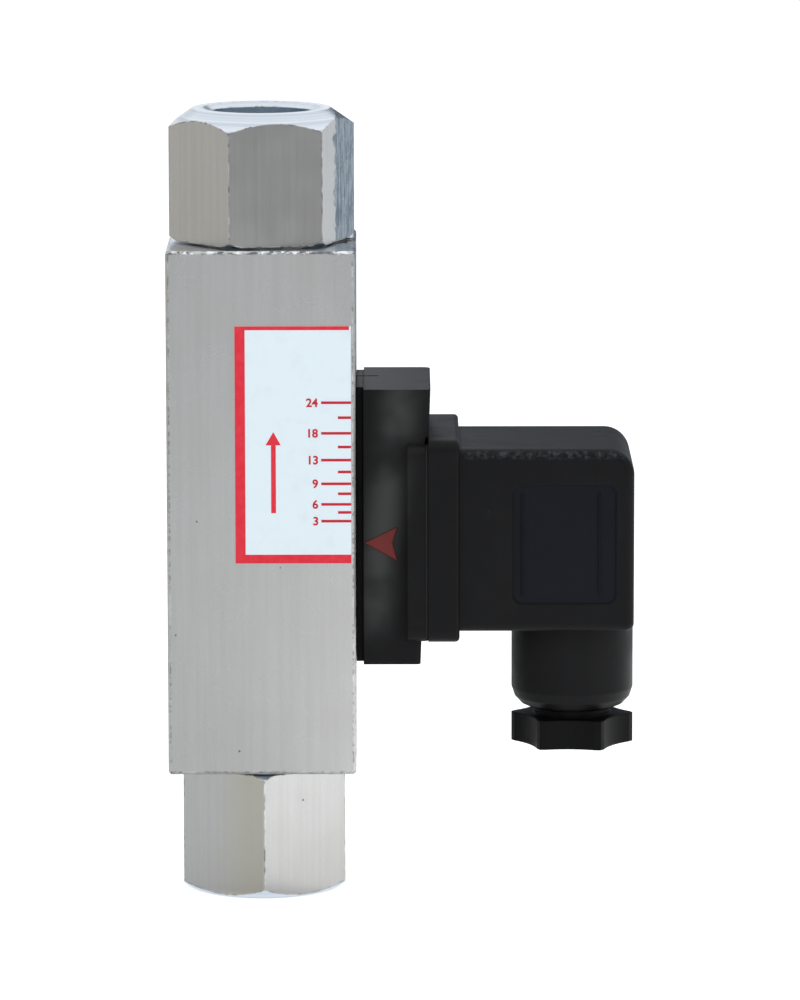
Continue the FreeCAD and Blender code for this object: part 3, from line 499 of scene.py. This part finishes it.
def bluish_panel(plastic, body):
    """The recessed panel of the plug, a little bluer than the rest, and speckles along the upper
    front edge, partly dust and partly a painted highlight.
    """
    low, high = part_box("plug_housing")
    seal_low, seal_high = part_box("plug_gasket")
    x, y, z = [plastic.axis(letter) for letter in "XYZ"]
    across = plastic.within(x, high.x - 11.15 * MM, half=8.0 * MM, soft=0.5 * MM)
    upright = plastic.within(z, (seal_low.z + seal_high.z) / 2, half=9.3 * MM, soft=0.5 * MM)
    front = plastic.between(y, low.y + 1.4 * MM, low.y + 1.6 * MM, 1.0, 0.0)
    body = plastic.mix(plastic.times(across, upright, front), body, PLUG_PANEL)
    # Speckles along the upper front edge: partly dust, partly a painted highlight of its rounding.
    edge = plastic.within(z, high.z - 2.4 * MM, half=0.2 * MM, soft=0.8 * MM)
    past_flange = plastic.between(x, 31.8 * MM, 32.4 * MM)
    speckle = plastic.patches(0.9 * MM, 0.40, 0.72, detail=4.0, roughness=0.7)
    return plastic.mix(plastic.times(edge, past_flange, speckle, front), body, EDGE_DUST_AND_HIGHLIGHT)


def moulded(name, tone, worn, grain, roughness=0.42, specular=0.14, dulled=0.5, marks=None):
    """Moulded plastic: spark-eroded grain, dulled clouds, softened edges and a little dust.

    Dulled is how far the clouds go towards the worn tone. Marks adds what this piece alone shows.
    """
    plastic = Finish(name)
    plastic.soften_edges(0.35 * MM)
    texture = plastic.noise(grain, detail=2.0, roughness=0.6)
    clouds = plastic.patches(11 * MM, 0.40, 0.75, detail=4.0, roughness=0.6)
    body = plastic.laid_over(tone, clouds, worn, strength=dulled)
    dust = plastic.specks(1.9 * MM, amount=0.05, radius=0.06)
    body = plastic.laid_over(body, dust, LOOSE_DUST, strength=0.35)
    body = marks(plastic, body) if marks else body
    plastic.bump(texture, grain * 0.22, strength=0.45)
    plastic.bump(plastic.noise(6 * MM, detail=2.0), 0.03 * MM, strength=0.2)
    rough = plastic.between(clouds, 0.0, 1.0, roughness, roughness + 0.12)
    return plastic.finish(body, Roughness=rough, Specular_IOR_Level=specular)


def soft_rubber(name, tone):
    """Moulded rubber: matt, faintly grainy, with a dusty bloom."""
    rubber = Finish(name)
    bloom = rubber.patches(3 * MM, 0.45, 0.8, detail=4.0)
    rubber.bump(rubber.noise(0.18 * MM, detail=2.0), 0.02 * MM, strength=0.5)
    body = rubber.laid_over(tone, bloom, scaled(tone, 2.2), strength=0.4)
    return rubber.finish(body, Roughness=0.72, Specular_IOR_Level=0.3)


def printed_film(name, tone):
    """Coated label film: almost white, with faint scuffs and a satin coat."""
    film = Finish(name)
    scuffs = film.patches(3.5 * MM, 0.50, 0.78, detail=5.0, roughness=0.65)
    body = film.laid_over(tone, scuffs, scaled(tone, 0.86), strength=0.35)
    film.bump(film.noise(2.1 * MM), 0.02 * MM, strength=0.3)
    rough = film.between(scuffs, 0.0, 1.0, 0.34, 0.50)
    return film.finish(body, Roughness=rough, Specular_IOR_Level=0.4)


def screen_ink(name, tone):
    """Printed ink: slightly uneven, with tiny gaps, and deeper on the figures and lines."""
    ink = Finish(name)
    uneven = ink.patches(1.2 * MM, 0.35, 0.8, detail=4.0, roughness=0.7)
    scale = ink.times(ink.between(ink.axis("X"), 6.2 * MM, 6.6 * MM),
                      ink.within(ink.axis("Z"), 71.5 * MM, half=10.5 * MM, soft=0.3 * MM))
    gaps = ink.specks(1.1 * MM, amount=0.10, radius=0.08)
    body = ink.laid_over(tone, uneven, THIN_INK, strength=0.30)
    body = ink.mix(scale, body, DEEP_INK)
    body = ink.laid_over(body, gaps, BARE_FILM, strength=0.6)
    return ink.finish(body, Roughness=0.40, Specular_IOR_Level=0.35)


# ---------------------------------------------------------------- bar and unions

class FLOWSWITCH_OT_metal_body(bpy.types.Operator):
    """Dress the square bar, its unions and their seal rings"""
    bl_idname = "flow_switch.metal_body"
    bl_label = "Bar and Unions"

    def execute(self, context):
        metal = context.scene.flow_switch.metal
        smoother = metal.roughness - 0.03
        ground_streaks, drawn_streaks = (1.0, 1.0, 0.03), (1.6, 1.6, 0.02)
        dress(plated("ground_nickel_bar", metal.nickel, metal.stain, metal.roughness,
                     ground_streaks, painted_top_and_nicked_rim), "body_block")
        dress(plated("tinted_nickel_union", metal.nickel, metal.stain, smoother,
                     drawn_streaks, warm_flat), "inlet_union")
        dress(plated("scuffed_nickel_union", metal.nickel, metal.stain, smoother,
                     drawn_streaks, scuffed_corner), "outlet_union")
        dress(soft_rubber("nitrile_ring", (0.02, 0.02, 0.02)),
              "inlet_seal_ring", "outlet_seal_ring")
        return {"FINISHED"}


def thread_ridge(thread, start, run):
    """Inner thread: a ridge with a slightly crowned crest, carried along a helix.

    Point = (radius cos t, radius sin t, start + pitch * t / full turn), where the radius goes
    from the root to the crest over the ridge. A fade pulls it back to the root at both ends,
    and leaves a little of its depth so that no face closes up.
    """
    full_turn, fading_turns, least_depth = 2.0 * np.pi, 0.6, 0.02
    half_root, half_shoulder = 0.46 * thread.pitch, 0.112 * thread.pitch
    shoulder_depth = 0.9
    turns = run / thread.pitch
    count = int(turns * thread.steps) + 1
    angle = np.linspace(0.0, full_turn * turns, count)
    fading = full_turn * fading_turns
    fade = ease(angle / fading) * ease((angle[-1] - angle) / fading)
    out = np.stack([np.cos(angle), np.sin(angle), np.zeros(count)], axis=1)
    centres = out * thread.root
    centres[:, 2] = start + thread.pitch * angle / full_turn
    depth = (thread.root - thread.crest) * np.maximum(fade, least_depth)
    shoulder = -shoulder_depth * depth
    u = np.stack([0 * depth, shoulder, -depth, shoulder, 0 * depth], axis=1)
    v = np.array([-half_root, -half_shoulder, 0.0, half_shoulder, half_root])
    profile = np.stack([u, np.broadcast_to(v, u.shape)], axis=-1)
    up = np.broadcast_to(np.array([0.0, 0.0, 1.0]), centres.shape)
    return swept_tube(centres, out, up, profile)


class FLOWSWITCH_OT_pipe_threads(bpy.types.Operator):
    """Cut the pipe thread into both ports"""
    bl_idname = "flow_switch.pipe_threads"
    bl_label = "Pipe Threads"

    def execute(self, context):
        settings = context.scene.flow_switch
        thread = settings.thread
        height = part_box("outlet_union")[1].z
        material = plated("cut_thread", CUT_THREAD, settings.metal.stain, roughness=0.24,
                          along=(0.3, 0.3, 1.0))
        lead = 2.6 * MM
        for name, start in (("inlet_thread", lead), ("outlet_thread", height - lead - thread.run)):
            points, faces = thread_ridge(thread, start, thread.run)
            piece = smooth(outward(mesh_piece(name, points, faces, "flow_body")))
            piece.data.materials.append(material)
        return {"FINISHED"}


# ---------------------------------------------------------------- printed scale

# millimetres: heights of the figures' lines and of the short lines, then places along x
FIGURES = (("3", 61.9), ("6", 64.6), ("9", 67.9), ("13", 71.7), ("18", 76.0), ("24", 80.9))
SHORT_LINES = (63.3, 66.3, 69.8, 73.8, 78.5)
FIGURES_END, LONG_LINES_START, SHORT_LINES_START = 9.05, 9.55, 12.2
ARROW = ((1.6, 63.2), (2.35, 63.2), (2.35, 74.1), (3.15, 74.1), (1.97, 76.2), (0.75, 74.1),
         (1.6, 74.1))
PRINT_THICKNESS, PRINT_PROUD = 0.04, 0.03

# size and added weight of the letters, as shares of a figure's height
LETTER_SIZE, LETTER_WEIGHT = 1.42, 0.04


def plate(outline, front, thickness):
    """A flat plate in a plane of constant y: an outline of (x, z) and its copy behind it."""
    outline = np.asarray(outline)
    count = len(outline)
    points = np.zeros((2 * count, 3))
    points[:, 0] = np.tile(outline[:, 0], 2)
    points[:, 2] = np.tile(outline[:, 1], 2)
    points[:count, 1] = front
    points[count:, 1] = front + thickness
    faces = [tuple(range(count)), tuple(reversed(range(count, 2 * count)))]
    faces += [(i, i + count, (i + 1) % count + count, (i + 1) % count) for i in range(count)]
    return points, faces


def strip(left, low, right, high):
    """The corners of an upright rectangle."""
    return [(left, low), (right, low), (right, high), (left, high)]


def join(parts):
    """Several (points, faces) as one."""
    points, faces, offset = [], [], 0
    for part_points, part_faces in parts:
        points.append(part_points)
        faces += [tuple(i + offset for i in face) for face in part_faces]
        offset += len(part_points)
    return np.concatenate(points), faces


def figure_mesh(text, size, right, middle, front, thickness):
    """A figure as a closed flat mesh, right-aligned at x and centred on z."""
    curve = bpy.data.curves.new("figure", "FONT")
    curve.body = text
    curve.size = size * LETTER_SIZE
    curve.extrude = thickness / 2
    curve.offset = size * LETTER_WEIGHT
    curve.resolution_u = 4
    maker = bpy.data.objects.new("figure", curve)
    bpy.context.scene.collection.objects.link(maker)
    bpy.context.view_layer.update()
    mesh = bpy.data.meshes.new_from_object(
        maker.evaluated_get(bpy.context.evaluated_depsgraph_get()))
    flat = np.zeros(len(mesh.vertices) * 3)
    mesh.vertices.foreach_get("co", flat)
    flat = flat.reshape(-1, 3)
    x = flat[:, 0] - flat[:, 0].max() + right
    z = flat[:, 1] - (flat[:, 1].max() + flat[:, 1].min()) / 2 + middle
    y = front + thickness / 2 - flat[:, 2]
    points = np.stack([x, y, z], axis=1)
    faces = [tuple(p.vertices) for p in mesh.polygons]
    bpy.data.objects.remove(maker)
    bpy.data.curves.remove(curve)
    bpy.data.meshes.remove(mesh)
    return points, faces


class FLOWSWITCH_OT_scale_print(bpy.types.Operator):
    """Print the border, the scale, its figures and the arrow on the label"""
    bl_idname = "flow_switch.scale_print"
    bl_label = "Printed Scale"

    def execute(self, context):
        printed = context.scene.flow_switch.printed
        dress(printed_film("label_film", printed.film), "scale_label")
        low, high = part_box("scale_label")
        thickness, front = PRINT_THICKNESS * MM, low.y - PRINT_PROUD * MM
        inside, short_of_edge = low.x + printed.left_border, 0.3 * MM
        outlines = [
            strip(low.x, low.z, inside, high.z),
            strip(inside, low.z, high.x, low.z + printed.bottom_border),
            strip(inside, high.z - printed.top_border, high.x - short_of_edge, high.z),
        ]
        lines = [(LONG_LINES_START, level) for _, level in FIGURES]
        lines += [(SHORT_LINES_START, level) for level in SHORT_LINES]
        half = printed.line / 2
        for start, level in lines:
            outlines.append(strip(start * MM, level * MM - half, high.x, level * MM + half))
        outlines.append(np.array(ARROW) * MM)
        parts = [plate(outline, front, thickness) for outline in outlines]
        parts += [figure_mesh(text, printed.figure, FIGURES_END * MM, level * MM, front,
                              thickness) for text, level in FIGURES]
        points, faces = join(parts)
        piece = outward(mesh_piece("scale_print", points, faces, "flow_body"))
        piece.data.materials.append(screen_ink("scale_ink", printed.ink))
        return {"FINISHED"}


# ---------------------------------------------------------------- inside the bar

class FLOWSWITCH_OT_flow_parts(bpy.types.Operator):
    """Dress the sleeve, the bridge and the piston, and wind its spring"""
    bl_idname = "flow_switch.flow_parts"
    bl_label = "Sleeve and Piston"

    def execute(self, context):
        settings = context.scene.flow_switch
        dress(turned_metal("turned_brass", settings.metal.brass, roughness=0.26),
              "nozzle_sleeve", "spring_bridge")
        dress(moulded("white_acetal", (0.78, 0.78, 0.73), (0.66, 0.66, 0.60), 0.2 * MM,
                      roughness=0.35, specular=0.5), "piston")
        dress(moulded("ferrite", (0.035, 0.035, 0.037), (0.07, 0.068, 0.065), 0.09 * MM,
                      roughness=0.55, specular=0.5), "piston_magnet")
        steel = turned_metal("spring_steel", (0.58, 0.58, 0.57), roughness=0.22)
        dress(steel, "magnet_retainer", "return_spring")
        self.wind_spring(steel)
        return {"FINISHED"}

    def wind_spring(self, steel):
        """Round wire on a helix that rises more slowly at both ends.

        Centre = (radius cos t, radius sin t, height), where the height is partly a smooth step
        of the share along the wire and partly that share itself.
        """
        low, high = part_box("return_spring")
        wire, radius = 0.35 * MM, 3.85 * MM
        turns, steps, sides, eased = 7.5, 48, 12, 0.35
        share_along = np.linspace(0.0, 1.0, int(turns * steps) + 1)
        angle = 2.0 * np.pi * turns * share_along
        rise = eased * ease(share_along) + (1.0 - eased) * share_along
        height = low.z + wire + (high.z - low.z - 2 * wire) * rise
        out = np.stack([np.cos(angle), np.sin(angle), 0 * angle], axis=1)
        centres = out * radius
        centres[:, 2] = height
        around = np.linspace(0.0, 2.0 * np.pi, sides, endpoint=False)
        profile = wire * np.stack([np.cos(around), np.sin(around)], axis=1)
        up = np.broadcast_to(np.array([0.0, 0.0, 1.0]), centres.shape)
        points, faces = swept_tube(centres, out, up, profile)
        piece = mesh_piece("spring_wire", points, faces, "flow_body")
        smooth(outward(piece)).data.materials.append(steel)
        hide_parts("return_spring")
        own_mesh(piece)


# ---------------------------------------------------------------- switch head

class FLOWSWITCH_OT_switch_head(bpy.types.Operator):
    """Dress the sliding head, its pointer and the reed switch inside it"""
    bl_idname = "flow_switch.switch_head"
    bl_label = "Switch Head"

    def execute(self, context):
        plastic = context.scene.flow_switch.plastic
        dress(moulded("head_moulding", plastic.black, plastic.worn, plastic.grain,
                      marks=painted_sheen_band), "switch_housing")
        dress(moulded("cover_moulding", scaled(plastic.black, 0.6), scaled(plastic.worn, 0.6),
                      plastic.grain), "reed_cover")
        dress(moulded("pointer_moulding", plastic.pointer, scaled(plastic.pointer, 0.8),
                      plastic.grain, roughness=0.5, specular=0.3, dulled=0.8), "pointer_arrow")
        dress(moulded("glass_filled_insert", plastic.grey, scaled(plastic.grey, 1.4),
                      plastic.grain, roughness=0.5, specular=0.4),
              "terminal_base", "terminal_block")
        dress(turned_metal("tinned_contact", (0.70, 0.67, 0.58), roughness=0.25, axis="X"),
              "contact_pins", "earth_pin", "reed_contacts")
        dress(moulded("wire_sleeve_blue", (0.03, 0.08, 0.36), (0.05, 0.12, 0.42), 0.3 * MM,
                      roughness=0.35, specular=0.5), "signal_wire")
        dress(moulded("wire_sleeve_brown", (0.13, 0.05, 0.02), (0.17, 0.07, 0.03), 0.3 * MM,
                      roughness=0.35, specular=0.5), "supply_wire")
        dress(self.capsule_glass(), "reed_capsule")
        return {"FINISHED"}

    def capsule_glass(self):
        """Greenish glass, clouded here and there and faintly wavy."""
        glass = Finish("capsule_glass")
        film = glass.patches(1.6 * MM, 0.4, 0.8)
        tone = glass.laid_over((0.72, 0.90, 0.80), film, (0.60, 0.80, 0.72), strength=0.3)
        glass.bump(glass.noise(1.2 * MM, detail=2.0), 0.01 * MM, strength=0.3)
        return glass.finish(tone, Roughness=0.05, IOR=1.5, Transmission_Weight=0.9)


# ---------------------------------------------------------------- plug and fasteners

class FLOWSWITCH_OT_plug(bpy.types.Operator):
    """Dress the connector plug, its gland and its seals"""
    bl_idname = "flow_switch.plug"
    bl_label = "Connector Plug"

    def execute(self, context):
        plastic = context.scene.flow_switch.plastic
        dress(moulded("plug_moulding", plastic.black, plastic.worn, plastic.grain,
                      marks=bluish_panel), "plug_housing")
        dress(moulded("gland_moulding", scaled(plastic.black, 0.6), scaled(plastic.worn, 0.5),
                      plastic.grain, roughness=0.44, specular=0.10), "gland_nut")
        seal = soft_rubber("nitrile_seal", (0.012, 0.012, 0.012))
        dress(seal, "plug_gasket", "screw_seal", "gland_seal")
        self.press_lip(seal)
        return {"FINISHED"}

    def press_lip(self, seal):
        """The edge of the flat seal, pressed out between the head and the plug's flange.

        Point = centre of the corner + reach * outward direction + height across the gap, over
        four quarter circles. The reach bulges by the sine of the share across the gap.
        """
        low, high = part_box("plug_gasket")
        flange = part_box("plug_housing")[0].x
        rounding, half_width, half_height = 1.7 * MM, 15.0 * MM, 15.7 * MM
        depth, bulge, overlap, steps = 0.9 * MM, 0.12 * MM, 0.06 * MM, 9
        quarter = np.linspace(0.0, np.pi / 2, steps)
        turn = (np.arange(4)[:, None] * np.pi / 2 + quarter).ravel()
        out = np.stack([0 * turn, np.cos(turn), np.sin(turn)], axis=1)
        corner = np.repeat([(0, 1, 1), (0, -1, 1), (0, -1, -1), (0, 1, -1)], steps, axis=0)
        centres = corner * (0, half_width - rounding, half_height - rounding)
        centres = centres + (0, 0, (low.z + high.z) / 2)
        share_across = np.linspace(0.0, 1.0, steps)
        reach = rounding + bulge * np.sin(np.pi * share_across)
        back = low.x - overlap
        across = back + (flange - back) * share_across
        reach = np.append(reach, [rounding - depth, rounding - depth])
        across = np.append(across, [across[-1], across[0]])
        points = centres[:, None, :] + reach[None, :, None] * out[:, None, :]
        points[..., 0] += across
        faces = grid_faces(len(turn), len(across), wrap=True, ring=True)
        lip = mesh_piece("seal_lip", points.reshape(-1, 3), faces, "plug")
        smooth(outward(lip)).data.materials.append(seal)


class FLOWSWITCH_OT_fasteners(bpy.types.Operator):
    """Dress the screws, washers and the track's nut"""
    bl_idname = "flow_switch.fasteners"
    bl_label = "Screws and Washers"

    def execute(self, context):
        zinc = context.scene.flow_switch.metal.zinc
        dress(turned_metal("zinc_along_x", zinc, roughness=0.28, axis="X"), "clamp_screw",
              "clamp_washer", "slot_nut", "terminal_screws", "fixing_screw")
        dress(turned_metal("zinc_along_z", zinc, roughness=0.28), "gland_washer")
        return {"FINISHED"}


# ---------------------------------------------------------------- stage

WHITE = (1.0, 1.0, 1.0)
SKY = (0.92, 0.96, 1.0)
SKY_STRENGTH = 0.55

# name, place, side of the square and power of each lamp, in metres and watts
LAMPS = (
    ("key_lamp", (0.75, -0.95, 0.75), 0.7, 6.0),
    ("fill_lamp", (-0.95, -0.8, 0.55), 0.8, 3.4),
    ("top_lamp", (0.0, 0.25, 1.2), 0.9, 4.6),
)
LAMP_TARGET = (0.015, 0.0, 0.063)
VIEW_TARGET = (0.02203, 0.0, 0.0628)

# degrees from the front about the bar's axis, and the tone that reflections show there
SURROUND = (
    (-180, (0.92, 0.96, 1.00)), (-152, (0.74, 0.74, 0.73)), (-130, (0.62, 0.61, 0.58)),
    (-42, (0.62, 0.61, 0.58)), (-30, (0.48, 0.48, 0.48)), (-15, (0.50, 0.51, 0.53)),
    (-5, (0.71, 0.73, 0.76)), (8, (0.71, 0.73, 0.76)), (13, (0.33, 0.335, 0.34)),
    (34, (0.33, 0.335, 0.34)), (46, (1.08, 1.07, 1.03)), (74, (1.08, 1.07, 1.03)),
    (84, (0.50, 0.54, 0.58)), (118, (0.50, 0.54, 0.58)), (140, (0.92, 0.96, 1.00)),
    (180, (0.92, 0.96, 1.00)),
)
SURROUND_RADIUS, SURROUND_TOP = 0.40, 0.30

# the low card's upper edge as pairs of x and height, its distance behind and its tone
CARD_EDGE = ((0.012, 0.131), (0.027, 0.131), (0.030, 0.230), (0.160, 0.230))
CARD_BEHIND = 0.25
CARD_TONE = (0.20, 0.215, 0.26)
ABOVE_FLOOR = 1.0 * MM


def area_lamp(name, place, side, power):
    """A square lamp that faces the object and isn't seen in reflections."""
    light = bpy.data.lights.new(name, "AREA")
    light.shape = "SQUARE"
    light.size = side
    light.energy = power
    lamp = bpy.data.objects.new(name, light)
    bpy.context.scene.collection.objects.link(lamp)
    lamp.location = place
    lamp.visible_glossy = False
    facing = Vector(LAMP_TARGET) - Vector(place)
    lamp.rotation_euler = facing.to_track_quat("-Z", "Y").to_euler()


def rays(tree, *kinds):
    """1 for rays of the named kinds, and 0 for all others."""
    path = tree.nodes.new("ShaderNodeLightPath")
    share_of_rays = path.outputs[kinds[0]]
    for kind in kinds[1:]:
        larger = tree.nodes.new("ShaderNodeMath")
        larger.operation = "MAXIMUM"
        tree.links.new(share_of_rays, larger.inputs[0])
        tree.links.new(path.outputs[kind], larger.inputs[1])
        share_of_rays = larger.outputs[0]
    return share_of_rays


def stage_piece(name, points, faces):
    """A mesh object of the stage, which isn't part of the flow switch."""
    mesh = bpy.data.meshes.new(name)
    mesh.from_pydata(points.tolist(), [], faces)
    piece = bpy.data.objects.new(name, mesh)
    bpy.context.scene.collection.objects.link(piece)
    return piece


class FLOWSWITCH_OT_stage(bpy.types.Operator):
    """Set the floor, the soft studio light and the camera"""
    bl_idname = "flow_switch.stage"
    bl_label = "Stage"

    def execute(self, context):
        stage = context.scene.flow_switch.stage
        self.light_world(context)
        self.lay_floor(stage)
        for name, place, side, power in LAMPS:
            area_lamp(name, place, side, power * stage.lamp)
        self.stand_surround()
        self.stand_low_card()
        self.aim_camera(context, stage)
        return {"FINISHED"}

    def light_world(self, context):
        """A pale sky lights the object. The camera, metal and glass see plain white."""
        world = bpy.data.worlds.new("soft_studio")
        context.scene.world = world
        world.use_nodes = True
        tree = world.node_tree
        tree.nodes.clear()
        lit, seen = [tree.nodes.new("ShaderNodeBackground") for _ in range(2)]
        lit.inputs["Color"].default_value = rgba(SKY)
        lit.inputs["Strength"].default_value = SKY_STRENGTH
        seen.inputs["Color"].default_value = rgba(WHITE)
        seen.inputs["Strength"].default_value = 1.0
        blend = tree.nodes.new("ShaderNodeMixShader")
        seen_by = rays(tree, "Is Camera Ray", "Is Glossy Ray", "Is Transmission Ray")
        tree.links.new(seen_by, blend.inputs[0])
        tree.links.new(lit.outputs[0], blend.inputs[1])
        tree.links.new(seen.outputs[0], blend.inputs[2])
        result = tree.nodes.new("ShaderNodeOutputWorld")
        tree.links.new(blend.outputs[0], result.inputs["Surface"])

    def lay_floor(self, stage):
        """A flat square of a grid of points, pale and matt.

        It is lifted to white for the camera. Reflections show it lifted to the object's right
        and close under it, and plain elsewhere.
        """
        half, count, height = 6.0, 9, -0.05 * MM
        camera_lift, right_lift, under_lift = 0.6, 0.56, 0.40
        side = np.linspace(-half, half, count)
        x, y = np.meshgrid(side, side, indexing="ij")
        points = np.stack([x, y, np.full_like(x, height)], axis=-1).reshape(-1, 3)
        floor = stage_piece("studio_floor", points, grid_faces(count, count))
        paint = Finish("studio_floor")
        matt = paint.add("ShaderNodeBsdfDiffuse", {"Color": rgba(stage.floor)})
        right = paint.between(paint.axis("X"), 4 * MM, 18 * MM, 0.0, right_lift)
        under = paint.between(paint.reach(paint.place), 13 * MM, 18 * MM, under_lift, 0.0)
        reflected = paint.times(rays(paint.tree, "Is Glossy Ray"),
                                paint.maths("MAXIMUM", right, under))
        seen = rays(paint.tree, "Is Camera Ray", "Is Transmission Ray")
        lift = paint.maths("MULTIPLY_ADD", seen, camera_lift, reflected)
        glow = paint.add("ShaderNodeEmission", {"Strength": lift})
        both = paint.add("ShaderNodeAddShader", {0: matt.outputs[0], 1: glow.outputs[0]})
        floor.data.materials.append(paint.show(both))

    def stand_surround(self):
        """A ring about the bar's axis, shaded smoothly from tone to tone.

        Point = (radius sin a, -radius cos a, height), where a goes round from the back.
        """
        degrees = np.linspace(-180.0, 180.0, 181)
        a = np.radians(degrees)
        ring = SURROUND_RADIUS * np.stack([np.sin(a), -np.cos(a), 0 * a], axis=1)
        points = np.concatenate([ring + (0, 0, ABOVE_FLOOR), ring + (0, 0, SURROUND_TOP)])
        stops = np.array([stop for stop, _ in SURROUND])
        tones = np.array([tone for _, tone in SURROUND])
        tone = np.stack([np.interp(degrees, stops, channel) for channel in tones.T], axis=1)
        self.reflected("surround", points, grid_faces(2, len(a)), np.tile(tone, (2, 1)))

    def stand_low_card(self):
        """A darker card behind, low enough that only the plastic's upper faces show it."""
        x, top = np.array(CARD_EDGE).T
        low = np.stack([x, 0 * x + CARD_BEHIND, 0 * x + ABOVE_FLOOR], axis=1)
        high = np.stack([x, 0 * x + CARD_BEHIND, top], axis=1)
        self.reflected("low_card", np.concatenate([low, high]), grid_faces(2, len(x)),
                       np.tile(CARD_TONE, (2 * len(x), 1)))

    def reflected(self, name, points, faces, tones):
        """A surface with a tone at each point, which only reflections show."""
        card = stage_piece(name, points, faces)
        shades = card.data.attributes.new("tone", "FLOAT_COLOR", "POINT")
        colours = np.concatenate([tones, np.ones((len(tones), 1))], axis=1)
        shades.data.foreach_set("color", colours.ravel())
        card.visible_camera = card.visible_diffuse = False
        card.visible_shadow = card.visible_transmission = False
        paint = Finish(name)
        tone = paint.add("ShaderNodeAttribute", attribute_name="tone").outputs["Color"]
        card.data.materials.append(paint.show(paint.add("ShaderNodeEmission", {"Color": tone})))

    def aim_camera(self, context, stage):
        """A camera in front of the object, as long-lensed as the view's height needs."""
        data = bpy.data.cameras.new("camera")
        data.sensor_width = 36.0
        data.lens = data.sensor_width * stage.distance / stage.view_height
        data.clip_start, data.clip_end = 0.01, 50.0
        camera = bpy.data.objects.new("camera", data)
        context.scene.collection.objects.link(camera)
        back = Vector((0.0, -math.cos(stage.elevation), math.sin(stage.elevation)))
        camera.location = Vector(VIEW_TARGET) + back * stage.distance
        level = (-back).to_track_quat("-Z", "Y").to_matrix()
        camera.rotation_euler = (level @ Matrix.Rotation(stage.roll, 3, "Z")).to_euler()
        context.scene.camera = camera
        context.scene.view_settings.view_transform = "Standard"


# ---------------------------------------------------------------- add-on

OPERATORS = (
    FLOWSWITCH_OT_metal_body,
    FLOWSWITCH_OT_pipe_threads,
    FLOWSWITCH_OT_scale_print,
    FLOWSWITCH_OT_flow_parts,
    FLOWSWITCH_OT_switch_head,
    FLOWSWITCH_OT_plug,
    FLOWSWITCH_OT_fasteners,
    FLOWSWITCH_OT_stage,
)


class FLOWSWITCH_PT_looks(bpy.types.Panel):
    """Lists the pieces of the flow switch and their settings"""
    bl_idname = "FLOWSWITCH_PT_looks"
    bl_label = "Flow Switch"
    bl_space_type = "VIEW_3D"
    bl_region_type = "UI"
    bl_category = "Flow Switch"

    def draw(self, context):
        settings = context.scene.flow_switch
        for operator in OPERATORS:
            self.layout.operator(operator.bl_idname)
        for name in ("metal", "plastic", "printed", "thread", "stage"):
            box = self.layout.box()
            group = getattr(settings, name)
            for prop in group.bl_rna.properties:
                if prop.identifier not in ("name", "rna_type"):
                    box.prop(group, prop.identifier)


CLASSES = (
    FlowSwitchMetal,
    FlowSwitchPlastic,
    FlowSwitchPrint,
    FlowSwitchThread,
    FlowSwitchStage,
    FlowSwitchSettings,
    *OPERATORS,
    FLOWSWITCH_PT_looks,
)


def register():
    """Register the classes and give each scene its settings."""
    for item in CLASSES:
        bpy.utils.register_class(item)
    bpy.types.Scene.flow_switch = PointerProperty(
        type=FlowSwitchSettings, name="Flow switch", description="Settings of the flow switch")


def unregister():
    """Take the settings and the classes away again."""
    del bpy.types.Scene.flow_switch
    for item in reversed(CLASSES):
        bpy.utils.unregister_class(item)


def main():
    """Build the looks."""
    register()
    for operator in OPERATORS:
        group, name = operator.bl_idname.split(".")
        getattr(getattr(bpy.ops, group), name)()


if __name__ == "__main__":
    main()
